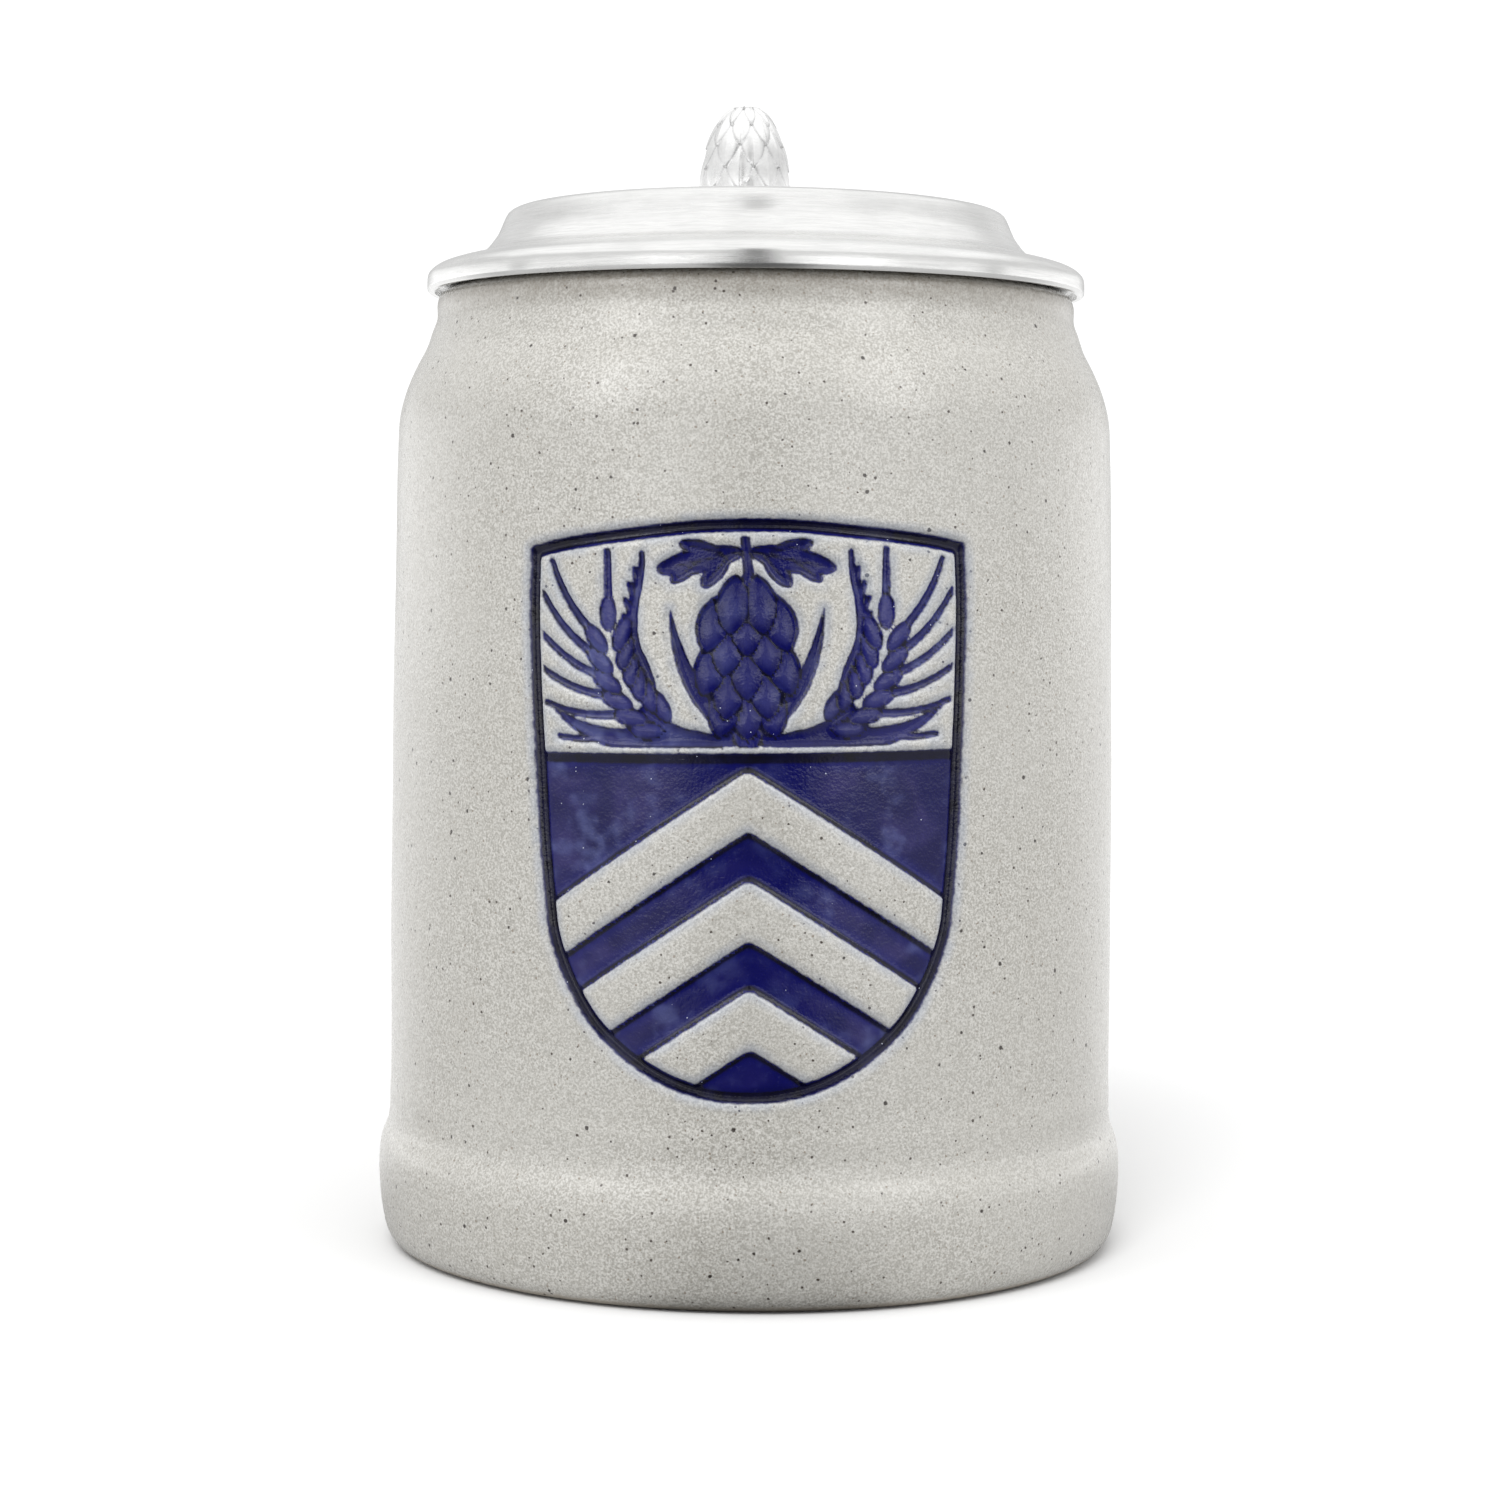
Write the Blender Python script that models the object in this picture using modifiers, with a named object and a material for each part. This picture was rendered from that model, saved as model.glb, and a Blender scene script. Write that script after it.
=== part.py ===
"""Lidded beer stein: a half-litre salt-glazed stoneware mug with a hinged pewter lid.

Frame: metres, +Z up, origin at the centre of the flat base. The shield faces -Y and the handle
points to +Y. The lid turns about the hinge pin, which runs along X at (HINGE_Y, HINGE_Z).
"""

import math

import bmesh
import bpy
from mathutils import Matrix, Vector

MM = 0.001  # every size below is in millimetres unless it says otherwise

# ---- driving dimensions ----------------------------------------------------
MOUTH_Z = 125.0  # top of the mug's lip
BASE_FLOOR_Z = 7.8  # inside floor of the mug
SEAT_GAP = 0.3  # gap left between pieces that are soldered or shrunk together

HANDLE_X_SCALE = 1.70  # the handle is this much wider than it is thick
HANDLE_HALF_T = 5.6  # half thickness of the handle's grip
HANDLE_SPACING = 4.2  # distance between rings along the handle
HANDLE_SEAT_X = HANDLE_HALF_T * HANDLE_X_SCALE + SEAT_GAP  # the strap's inner half axes
HANDLE_SEAT_Z = HANDLE_HALF_T + SEAT_GAP

STRAP_Y0, STRAP_Y1 = 53.2, 60.8  # the pewter strap's edges along the handle
STRAP_Z = 112.6  # height of the handle's centre line under the strap
STRAP_T = 1.5  # strap thickness
SADDLE_HALF = 10.0  # half length of the cutter that hollows the block's foot

HINGE_Y, HINGE_Z = 50.0, 127.5  # hinge pin axis
KNUCKLE_R = 3.4
ARC_STEP = 12  # degrees between points on a knuckle's round, about
PIN_R = 1.2
PIN_HALF = 6.9  # half length of the pin
BORE_R = 1.3
HINGE_HALF = 7.5  # half width of the five-knuckle hinge
SLOT_R = 4.2  # the slots between knuckles are cut this deep
SLOT_IN, SLOT_OUT = 1.5, 4.5  # each slot in the block lies between these distances from x = 0
SIDE_PLAY = 0.3  # clearance on each side of a shank knuckle
SHANK_HALF = SLOT_OUT - SIDE_PLAY  # half width of the lid's shank
SHANK_TOP_Z = 133.0

THUMB_Y = 49.3  # axis of the thumb lift
THUMB_Z0 = SHANK_TOP_Z + SEAT_GAP  # underside of its collar

GROOVE_R = 0.85  # radius of the tube that cuts the shield's border
SHIELD_SPACING = 6.0  # distance between points along the border

# ---- mesh resolution -------------------------------------------------------
TURN_STEPS = 64  # facets round the mug and the lid
THUMB_STEPS = 32
CAP_STEPS = 24
ELLIPSE_POINTS = 48
PIN_SEGMENTS = 48
SLOT_SEGMENTS = 32
HANDLE_BEVEL = 6
GROOVE_BEVEL = 1
SCREW_MERGE = 0.00005  # metres
WELD = 0.00002  # metres
SHARP_ANGLE = math.radians(35)

# ---- colours (RGB) ---------------------------------------------------------
SALT_GLAZE = (0.62, 0.60, 0.55)
LIGHT_PEWTER = (0.72, 0.72, 0.71)
MID_PEWTER = (0.70, 0.70, 0.69)
DARK_PEWTER = (0.68, 0.68, 0.67)
STEEL = (0.55, 0.55, 0.56)

# ---- turned profiles: (radius, height) -------------------------------------
MUG_INSIDE = [  # from the middle of the floor up to the lip
    (0.0, BASE_FLOOR_Z), (20.0, 7.9), (34.0, 8.2), (38.6, 9.2), (41.2, 11.6), (42.4, 16.0),
    (42.5, 24.0), (42.3, 60.0), (41.8, 98.0), (41.5, 105.5), (40.8, 109.6), (39.4, 113.4),
    (38.0, 116.6), (37.3, 119.4), (37.15, 122.2), (37.5, 123.7), (38.3, 124.6),
]
MUG_OUTSIDE = [  # from the lip down to the middle of the base
    (39.4, MOUTH_Z), (40.5, 124.85), (41.35, 124.2), (41.75, 123.1), (41.8, 121.0),
    (42.35, 119.5), (43.1, 117.3), (44.2, 115.2), (45.3, 112.8), (46.1, 110.4), (46.6, 108.0),
    (46.85, 103.0), (47.15, 88.0), (47.5, 66.0), (47.7, 42.0), (47.8, 18.0), (48.05, 16.0),
    (48.6, 14.7), (49.0, 13.2), (49.2, 10.6), (49.1, 7.6), (48.75, 4.4), (48.1, 1.9),
    (47.1, 0.6), (45.6, 0.0), (0.0, 0.0),
]
LID_OUTSIDE = [  # from the crown down to the rim
    (0.0, 137.6), (12.0, 137.3), (22.0, 136.6), (28.0, 135.95), (31.0, 135.55), (32.0, 135.3),
    (32.65, 134.85), (33.1, 134.0), (33.5, 133.05), (34.0, 132.0), (34.65, 131.1),
    (35.2, 130.4), (36.2, 129.6), (37.6, 129.15), (40.2, 128.5), (41.65, 128.0),
    (42.55, 127.4), (42.95, 126.7), (43.1, 125.7), (42.8, 124.6),
]
LID_INSIDE = [  # from the rim up to the underside of the crown
    (42.15, 124.65), (42.15, MOUTH_Z + SEAT_GAP), (38.4, MOUTH_Z + SEAT_GAP), (37.8, 125.9),
    (37.2, 127.4), (35.4, 127.9), (33.6, 129.0), (32.3, 131.0), (31.4, 133.1), (30.4, 133.9),
    (27.0, 134.5), (18.0, 135.4), (0.0, 135.7),
]
THUMB_PROFILE = [  # top to bottom
    (0.0, 156.1), (1.7, 155.85), (3.0, 155.0), (4.5, 152.9), (5.6, 150.2), (6.15, 147.2),
    (6.4, 144.2), (6.2, 141.8), (5.3, 139.7), (3.9, 138.2), (2.9, 137.2), (2.7, 135.8),
    (3.1, 135.0), (4.0, 134.6), (4.1, 133.7), (3.7, THUMB_Z0), (0.0, THUMB_Z0),
]
CAP_PLUG_R = 1.15
CAP_FACE = HINGE_HALF + SEAT_GAP  # the cap's flat inner face
CAP_PLUG_END = PIN_HALF + SEAT_GAP
CAP_PROFILE = [  # (radius, distance out from the hinge's middle)
    (0.0, 9.0), (1.4, 8.9), (2.5, 8.5), (3.0, 8.05), (3.05, CAP_FACE),
    (CAP_PLUG_R, CAP_FACE), (CAP_PLUG_R, CAP_PLUG_END), (0.0, CAP_PLUG_END),
]

# ---- handle and shield -----------------------------------------------------
# Handle centre line from the upper root to the lower one: (y, z, thickness factor).
HANDLE_KEYS = [
    (42.3, 111.4, 1.20), (46.0, 111.9, 1.12), (49.0, 112.4, 1.03), (52.0, STRAP_Z, 1.0),
    (62.0, STRAP_Z, 1.0), (67.0, 111.6, 1.0), (74.0, 107.8, 1.0), (79.6, 101.0, 1.0),
    (82.4, 91.5, 0.99), (82.6, 80.0, 0.97), (80.4, 67.5, 0.95), (75.6, 55.5, 0.93),
    (68.4, 45.4, 0.93), (60.0, 38.4, 0.96), (52.6, 34.2, 1.06), (48.0, 32.4, 1.20),
    (44.6, 31.5, 1.36),
]
# One half of the shield's outline on the front wall: (arc length from the middle, height).
SHIELD_TOP = [  # from the middle out to the upper corner
    (0.0, 94.15), (6.0, 93.98), (12.0, 93.4), (18.2, 92.7), (23.1, 92.05), (27.15, 91.25),
]
SHIELD_SIDE = [  # from the upper corner down to the bottom tip
    SHIELD_TOP[-1], (27.4, 85.0), (27.3, 79.0), (27.05, 73.0), (26.7, 67.0), (26.4, 61.0),
    (26.0, 55.0), (25.35, 49.0), (24.95, 46.0), (24.15, 43.3), (22.9, 40.35), (21.33, 37.64),
    (19.3, 34.83), (16.4, 32.1), (12.5, 29.4), (8.05, 27.36), (3.4, 26.34), (0.0, 26.17),
]

# ---- hinge plates: (y, z), joined to the round of the knuckles --------------
BLOCK_FOOT = [  # from the knuckles down the mug's side, under the foot and back up
    (48.0, 123.2), (49.6, 120.9), (52.0, 119.4), (53.4, 117.4), (60.6, 117.4), (60.6, 120.9),
    (58.6, 121.4), (56.2, 121.8), (54.6, 122.6), (53.0, 123.8),
]
SHANK_UNDERSIDE = [  # from the tongue's tip to the knuckles
    (36.35, 130.05), (37.7, 129.6), (40.3, 128.95), (41.9, 128.45), (42.95, 127.75),
    (43.45, 126.8), (44.6, 125.8),
]
SHANK_TOP = [  # from the knuckles back to the tongue's tip
    (52.2, 131.4), (52.4, SHANK_TOP_Z), (45.4, SHANK_TOP_Z), (43.2, 131.9), (40.6, 131.3),
    (38.4, 131.6), (36.9, 131.9), (36.3, 131.2),
]

HINGE_AXIS = Vector((0, HINGE_Y * MM, HINGE_Z * MM))  # metres
# A plate is drawn as (y, z), with its thickness along X.
PLATE_PLACE = Matrix(((0, 0, 1, 0), (1, 0, 0, 0), (0, 1, 0, 0), (0, 0, 0, 1)))
# A section of the handle is drawn as (x, z) about its centre line, with its depth along Y.
STRAP_PLACE = Matrix.Translation(
    (0, (STRAP_Y0 + STRAP_Y1) * MM / 2, STRAP_Z * MM)
) @ Matrix.Rotation(math.pi / 2, 4, "X")


# ---- scene, materials and objects ------------------------------------------
def clear_scene():
    for ob in list(bpy.data.objects):
        bpy.data.objects.remove(ob, do_unlink=True)


def collection(name):
    made = bpy.data.collections.new(name)
    bpy.context.scene.collection.children.link(made)
    return made


def material(name, colour, roughness, metallic=1.0):
    mat = bpy.data.materials.new(name)
    mat.use_nodes = True
    shader = mat.node_tree.nodes["Principled BSDF"]
    shader.inputs["Base Color"].default_value = (*colour, 1.0)
    shader.inputs["Roughness"].default_value = roughness
    shader.inputs["Metallic"].default_value = metallic
    mat.diffuse_color = (*colour, 1.0)
    return mat


def smooth(mesh):
    mesh.shade_smooth()
    mesh.set_sharp_from_angle(angle=SHARP_ANGLE)


def add_piece(mesh, mat):
    """A piece of the stein, named after its mesh."""
    ob = bpy.data.objects.new(mesh.name, mesh)
    stein.objects.link(ob)
    mesh.materials.append(mat)
    return ob


def add_helper(mesh):
    """A cutter or a shape that a Boolean joins: it isn't a piece of the stein."""
    ob = bpy.data.objects.new(mesh.name, mesh)
    cutters.objects.link(ob)
    smooth(mesh)
    ob.hide_render = True
    ob.display_type = "WIRE"
    return ob


def boolean(ob, other, operation):
    mod = ob.modifiers.new(operation.lower() + "_" + other.name, "BOOLEAN")
    mod.operation = operation
    mod.solver = "EXACT"
    mod.object = other


def hang(ob, lid_axis):
    """Parent a piece to the lid's axis without moving it."""
    ob.parent = lid_axis
    ob.matrix_parent_inverse = lid_axis.matrix_world.inverted()


# ---- shapes ----------------------------------------------------------------
def turned(name, profile, mat, steps=TURN_STEPS):
    """A profile in the XZ plane, turned about Z by a Screw modifier."""
    mesh = bpy.data.meshes.new(name)
    verts = [(radius * MM, 0.0, z * MM) for radius, z in profile]
    mesh.from_pydata(verts, [(i, i + 1) for i in range(len(verts) - 1)], [])
    ob = add_piece(mesh, mat)
    screw = ob.modifiers.new("turn", "SCREW")
    screw.axis = "Z"
    screw.steps = steps
    screw.render_steps = steps
    screw.use_merge_vertices = True
    screw.merge_threshold = SCREW_MERGE
    screw.use_smooth_shade = True
    return ob


def add_spline(curve, points, cyclic):
    """A polyline through (x, y, z, thickness factor)."""
    spline = curve.splines.new("POLY")
    spline.points.add(len(points) - 1)
    for spline_point, (x, y, z, factor) in zip(spline.points, points):
        spline_point.co = (x * MM, y * MM, z * MM, 1.0)
        spline_point.radius = factor
    spline.use_cyclic_u = cyclic


def mesh_from_curve(curve, place):
    """The evaluated curve as a welded mesh, moved by the matrix place."""
    name = curve.name
    ob = bpy.data.objects.new(name, curve)
    bpy.context.scene.collection.objects.link(ob)
    bpy.context.view_layer.update()
    graph = bpy.context.evaluated_depsgraph_get()
    mesh = bpy.data.meshes.new_from_object(ob.evaluated_get(graph), depsgraph=graph)
    mesh.name = name
    mesh.transform(place)
    bm = bmesh.new()
    bm.from_mesh(mesh)
    bmesh.ops.remove_doubles(bm, verts=bm.verts, dist=WELD)
    bmesh.ops.recalc_face_normals(bm, faces=bm.faces)
    bm.to_mesh(mesh)
    bm.free()
    mesh.materials.clear()
    bpy.data.objects.remove(ob, do_unlink=True)
    return mesh


def tube_mesh(name, points, radius, resolution, cyclic=False, x_scale=1.0):
    curve = bpy.data.curves.new(name, "CURVE")
    curve.dimensions = "3D"
    curve.bevel_depth = radius * MM
    curve.bevel_resolution = resolution
    curve.use_fill_caps = not cyclic
    add_spline(curve, points, cyclic)
    return mesh_from_curve(curve, Matrix.Diagonal((x_scale, 1.0, 1.0, 1.0)))


def prism_mesh(name, outlines, half_depth, place):
    """A flat outline, with any holes, extruded both ways and then placed."""
    curve = bpy.data.curves.new(name, "CURVE")
    curve.dimensions = "2D"
    curve.fill_mode = "BOTH"
    curve.extrude = half_depth * MM
    for outline in outlines:
        add_spline(curve, [(x, y, 0.0, 1.0) for x, y in outline], cyclic=True)
    return mesh_from_curve(curve, place)


def rod_mesh(name, radius, x0, x1, segments):
    """A cylinder on the hinge axis, from x0 to x1."""
    bm = bmesh.new()
    bmesh.ops.create_cone(
        bm, cap_ends=True, cap_tris=False, segments=segments,
        radius1=radius * MM, radius2=radius * MM, depth=(x1 - x0) * MM,
    )
    centre = HINGE_AXIS + Vector(((x0 + x1) * MM / 2, 0, 0))
    place = Matrix.Translation(centre) @ Matrix.Rotation(math.pi / 2, 4, "Y")
    bmesh.ops.transform(bm, matrix=place, verts=bm.verts)
    mesh = bpy.data.meshes.new(name)
    bm.to_mesh(mesh)
    bm.free()
    return mesh


def smooth_path(keys, spacing):
    """Catmull-Rom through the keys, resampled at about this spacing over their first two columns."""
    path = []
    for i in range(len(keys) - 1):
        before, start, end = keys[max(i - 1, 0)], keys[i], keys[i + 1]
        after = keys[min(i + 2, len(keys) - 1)]
        count = max(1, round(math.dist(start[:2], end[:2]) / spacing))
        for k in range(count):
            t = k / count
            path.append(tuple(
                0.5 * (2 * b + (c - a) * t + (2 * a - 5 * b + 4 * c - d) * t * t
                       + (3 * b - a - 3 * c + d) * t ** 3)
                for a, b, c, d in zip(before, start, end, after)
            ))
    path.append(keys[-1])
    return path


def ellipse(half_x, half_y, centre_x=0.0, centre_y=0.0):
    turns = [2 * math.pi * k / ELLIPSE_POINTS for k in range(ELLIPSE_POINTS)]
    return [(centre_x + half_x * math.cos(t), centre_y + half_y * math.sin(t)) for t in turns]


def knuckle_arc(start, end):
    """Points (y, z) on the knuckle's round, between two angles in degrees."""
    count = round((end - start) / ARC_STEP)
    turns = [math.radians(start + (end - start) * k / count) for k in range(count + 1)]
    return [(HINGE_Y + KNUCKLE_R * math.cos(t), HINGE_Z + KNUCKLE_R * math.sin(t)) for t in turns]


def hinge_plate(name, outline, half_width, mat):
    """A plate across the hinge with the pin's bore through it."""
    bore = ellipse(BORE_R, BORE_R, HINGE_Y, HINGE_Z)
    mesh = prism_mesh(name, [outline, bore], half_width, PLATE_PLACE)
    plate = add_piece(mesh, mat)
    smooth(mesh)
    return plate


def cut_slot(ob, name, x0, x1):
    slot = add_helper(rod_mesh(name, SLOT_R, x0, x1, SLOT_SEGMENTS))
    boolean(ob, slot, "DIFFERENCE")


def wall_radius(height):
    """Radius of the mug's outer wall at a height."""
    for (upper_r, upper_z), (lower_r, lower_z) in zip(MUG_OUTSIDE, MUG_OUTSIDE[1:]):
        if lower_z <= height <= upper_z:
            return upper_r + (lower_r - upper_r) * (upper_z - height) / (upper_z - lower_z)


# ---- pieces ----------------------------------------------------------------
def handle_form():
    path = smooth_path(HANDLE_KEYS, HANDLE_SPACING)
    points = [(0.0, y, z, factor) for y, z, factor in path]
    return add_helper(tube_mesh(
        "handle_form", points, HANDLE_HALF_T, HANDLE_BEVEL, x_scale=HANDLE_X_SCALE
    ))


def shield_groove():
    """A closed tube that follows the shield's outline round the front wall."""
    half = smooth_path(SHIELD_TOP, SHIELD_SPACING)[:-1] + smooth_path(SHIELD_SIDE, SHIELD_SPACING)
    ring = []
    for arc, z in half + [(-arc, z) for arc, z in reversed(half[1:-1])]:
        radius = wall_radius(z)
        ring.append((radius * math.sin(arc / radius), -radius * math.cos(arc / radius), z, 1.0))
    return add_helper(tube_mesh("shield_groove", ring, GROOVE_R, GROOVE_BEVEL, cyclic=True))


def build_mug():
    """One fired piece, wall and handle together, with the shield's border cut in."""
    stoneware = material("stoneware", colour=SALT_GLAZE, roughness=0.42, metallic=0.0)
    mug = turned("mug_body", MUG_INSIDE + MUG_OUTSIDE, stoneware)
    boolean(mug, handle_form(), "UNION")
    boolean(mug, shield_groove(), "DIFFERENCE")


def build_strap():
    """A pewter band shrunk round the handle."""
    loops = [ellipse(HANDLE_SEAT_X + grow, HANDLE_SEAT_Z + grow) for grow in (STRAP_T, 0.0)]
    mesh = prism_mesh("handle_strap", loops, (STRAP_Y1 - STRAP_Y0) / 2, STRAP_PLACE)
    add_piece(mesh, material("strap_pewter", colour=DARK_PEWTER, roughness=0.36))
    smooth(mesh)


def build_block():
    """Three knuckles on a foot that is soldered to the strap."""
    pewter = material("block_pewter", colour=DARK_PEWTER, roughness=0.34)
    block = hinge_plate("hinge_block", knuckle_arc(-45, 225) + BLOCK_FOOT, HINGE_HALF, pewter)
    cut_slot(block, "block_slot_left", -SLOT_OUT, -SLOT_IN)
    cut_slot(block, "block_slot_right", SLOT_IN, SLOT_OUT)
    # The saddle hollows the foot to sit over the strap.
    grow = STRAP_T + SEAT_GAP
    loop = ellipse(HANDLE_SEAT_X + grow, HANDLE_SEAT_Z + grow)
    saddle = add_helper(prism_mesh("block_saddle", [loop], SADDLE_HALF, STRAP_PLACE))
    boolean(block, saddle, "DIFFERENCE")


def build_pin():
    """The hinge pin, with a plugged cap over each end."""
    mesh = rod_mesh("hinge_pin", PIN_R, -PIN_HALF, PIN_HALF, PIN_SEGMENTS)
    add_piece(mesh, material("pin_steel", colour=STEEL, roughness=0.30))
    smooth(mesh)
    for side, label in ((-1, "left"), (1, "right")):
        pewter = material(f"cap_{label}_pewter", colour=MID_PEWTER, roughness=0.26)
        cap = turned(f"pin_cap_{label}", CAP_PROFILE, pewter, steps=CAP_STEPS)
        # The profile's height becomes the distance along X.
        turn = Matrix.Rotation(side * math.pi / 2, 4, "Y")
        cap.matrix_world = Matrix.Translation(HINGE_AXIS) @ turn


def build_lid_axis():
    """Everything on the lid hangs from this empty on the hinge axis."""
    lid_axis = bpy.data.objects.new("lid_axis", None)
    lid_axis.location = HINGE_AXIS
    stein.objects.link(lid_axis)
    bpy.context.view_layer.update()  # hang() reads its world matrix
    return lid_axis


def build_lid():
    pewter = material("lid_pewter", colour=LIGHT_PEWTER, roughness=0.28)
    return turned("lid", LID_OUTSIDE + LID_INSIDE, pewter)


def build_shank():
    """A tongue soldered on the lid's flange: it has two knuckles and the thumb lift's seat."""
    pewter = material("shank_pewter", colour=MID_PEWTER, roughness=0.34)
    outline = SHANK_UNDERSIDE + knuckle_arc(222, 405) + SHANK_TOP
    shank = hinge_plate("lid_shank", outline, SHANK_HALF, pewter)
    middle = SLOT_IN + SIDE_PLAY
    cut_slot(shank, "shank_slot", -middle, middle)
    return shank


def build_thumb_lift():
    """A cone-shaped casting on a short neck."""
    pewter = material("thumb_pewter", colour=LIGHT_PEWTER, roughness=0.24)
    thumb = turned("thumb_lift", THUMB_PROFILE, pewter, steps=THUMB_STEPS)
    thumb.location = (0, THUMB_Y * MM, 0)
    return thumb


clear_scene()
stein = collection("beer_stein")
cutters = collection("cutters")
build_mug()
build_strap()
build_block()
build_pin()
axis = build_lid_axis()
for build in (build_lid, build_shank, build_thumb_lift):
    hang(build(), axis)
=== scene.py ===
"""A lidded stoneware beer stein with pewter fittings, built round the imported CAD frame.

The mug stands on z = 0 with its axis on Z. The cobalt shield faces the front (-Y); the handle,
the hinge and the lid's thumb lift are at the back (+Y). The hinge turns about X.
Tables and lengths are millimetres unless a comment says otherwise; meshes are made in metres.
"""

import math

import bmesh
import bpy
import numpy as np
from mathutils import Matrix, Vector


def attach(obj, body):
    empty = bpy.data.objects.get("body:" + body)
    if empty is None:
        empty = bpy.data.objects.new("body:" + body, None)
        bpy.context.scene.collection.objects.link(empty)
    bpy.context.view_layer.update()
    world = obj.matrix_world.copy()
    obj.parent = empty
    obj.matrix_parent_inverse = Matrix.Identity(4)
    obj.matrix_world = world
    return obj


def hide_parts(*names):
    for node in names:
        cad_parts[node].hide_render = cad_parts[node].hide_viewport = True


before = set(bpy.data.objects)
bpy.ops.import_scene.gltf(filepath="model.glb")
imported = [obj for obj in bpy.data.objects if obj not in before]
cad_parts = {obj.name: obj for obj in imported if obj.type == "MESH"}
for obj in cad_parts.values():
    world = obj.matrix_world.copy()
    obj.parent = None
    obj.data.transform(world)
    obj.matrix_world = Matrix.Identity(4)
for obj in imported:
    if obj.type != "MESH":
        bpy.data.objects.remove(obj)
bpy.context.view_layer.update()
MM = 0.001

# ---------------------------------------------------------------- dimensions
HINGE_Y, HINGE_Z = 50.0, 127.5
KNUCKLE_RADIUS, SLOT_RADIUS, BORE_RADIUS = 3.4, 4.2, 1.3
HINGE_HALF_WIDTH = 7.5
SLOT_IN, SLOT_OUT, SIDE_PLAY = 1.5, 4.5, 0.3  # each slot's inner and outer |x|; play beside a leaf
SHANK_HALF_WIDTH = SLOT_OUT - SIDE_PLAY
BORE_REACH = 9.0  # the cutter's |x|, past both sides of the hinge
HANDLE_HALF_THICK = 5.6
HANDLE_HALF_WIDE = HANDLE_HALF_THICK * 1.70
STRAP_Y0, STRAP_Y1, STRAP_Z, STRAP_THICK = 53.2, 60.8, 112.6, 1.5
SEAT_GAP = 0.3
SADDLE_BITE = 0.25  # how far the hinge foot sinks into its clearance over the strap
THUMB_Y = 49.3

# Turned profiles: radius, height.
MUG_INSIDE = [  # from the floor up to the lip
    (0.0, 7.8), (20.0, 7.9), (34.0, 8.2), (38.6, 9.2), (41.2, 11.6), (42.4, 16.0),
    (42.5, 24.0), (42.3, 60.0), (41.8, 98.0), (41.5, 105.5), (40.8, 109.6), (39.4, 113.4),
    (38.0, 116.6), (37.3, 119.4), (37.15, 122.2), (37.5, 123.7), (38.3, 124.6),
]
MUG_OUTSIDE = [  # from the lip down to the base
    (39.4, 125.0), (40.5, 124.85), (41.35, 124.2), (41.75, 123.1), (41.8, 121.0), (42.35, 119.5),
    (43.1, 117.3), (44.2, 115.2), (45.3, 112.8), (46.1, 110.4), (46.6, 108.0), (46.85, 103.0),
    (47.15, 88.0), (47.5, 66.0), (47.7, 42.0), (47.8, 18.0), (48.05, 16.0), (48.6, 14.7),
    (49.0, 13.2), (49.2, 10.6), (49.1, 7.6), (48.75, 4.4), (48.1, 1.9), (47.1, 0.6),
    (45.6, 0.0), (0.0, 0.0),
]
LIP_COUNT, FOOT_START = 12, 15  # MUG_OUTSIDE: lip and shoulder end before 12, the foot starts at 15
LID_OUTSIDE = [  # from the crown out to the rim
    (0.0, 137.6), (12.0, 137.3), (22.0, 136.6), (28.0, 135.95), (31.0, 135.55), (32.0, 135.3),
    (32.65, 134.85), (33.1, 134.0), (33.5, 133.05), (34.0, 132.0), (34.65, 131.1), (35.2, 130.4),
    (36.2, 129.6), (37.6, 129.15), (40.2, 128.5), (41.65, 128.0), (42.5, 127.45), (42.95, 126.9),
    (43.08, 126.3), (43.1, 125.5), (43.08, 124.9), (42.85, 124.62),
]
LID_INSIDE = [  # from the rim back to the axis
    (42.15, 124.65), (42.15, 125.3), (38.4, 125.3), (37.8, 125.9),
    (37.2, 127.4), (35.4, 127.9), (33.6, 129.0), (32.3, 131.0), (31.4, 133.1), (30.4, 133.9),
    (27.0, 134.5), (18.0, 135.4), (0.0, 135.7),
]
THUMB_PROFILE = [  # bottom to top, about its own axis
    (0.0, 133.3), (3.7, 133.3), (4.1, 133.7), (4.0, 134.6), (3.1, 135.0), (2.7, 135.8),
    (2.9, 137.2), (3.9, 138.2), (5.3, 139.7), (6.1, 141.8), (6.25, 144.2), (6.0, 147.2),
    (5.4, 150.2), (4.3, 152.9), (2.9, 155.0), (1.6, 155.85), (0.0, 156.1),
]
PLUG_PROFILE = [  # radius, distance from the hinge's middle, outer end first
    (0.0, 9.0), (1.4, 8.92), (2.4, 8.55), (2.95, 8.12), (3.05, 7.8), (1.15, 7.8), (1.15, 7.2),
    (0.0, 7.2),
]
HANDLE_KEYS = [  # centre line from the upper root to the lower: y, z, size of the section
    (42.3, 111.4, 1.20), (46.0, 111.9, 1.12), (49.0, 112.4, 1.03), (52.0, STRAP_Z, 1.0),
    (62.0, STRAP_Z, 1.0), (67.0, 111.6, 1.0), (74.0, 107.8, 1.0), (79.6, 101.0, 1.0),
    (82.4, 91.5, 0.99), (82.6, 80.0, 0.97), (80.4, 67.5, 0.95), (75.6, 55.5, 0.93),
    (68.4, 45.4, 0.93), (60.0, 38.4, 0.96), (52.6, 34.2, 1.06), (48.0, 32.4, 1.20),
    (44.6, 31.5, 1.36),
]

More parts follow.
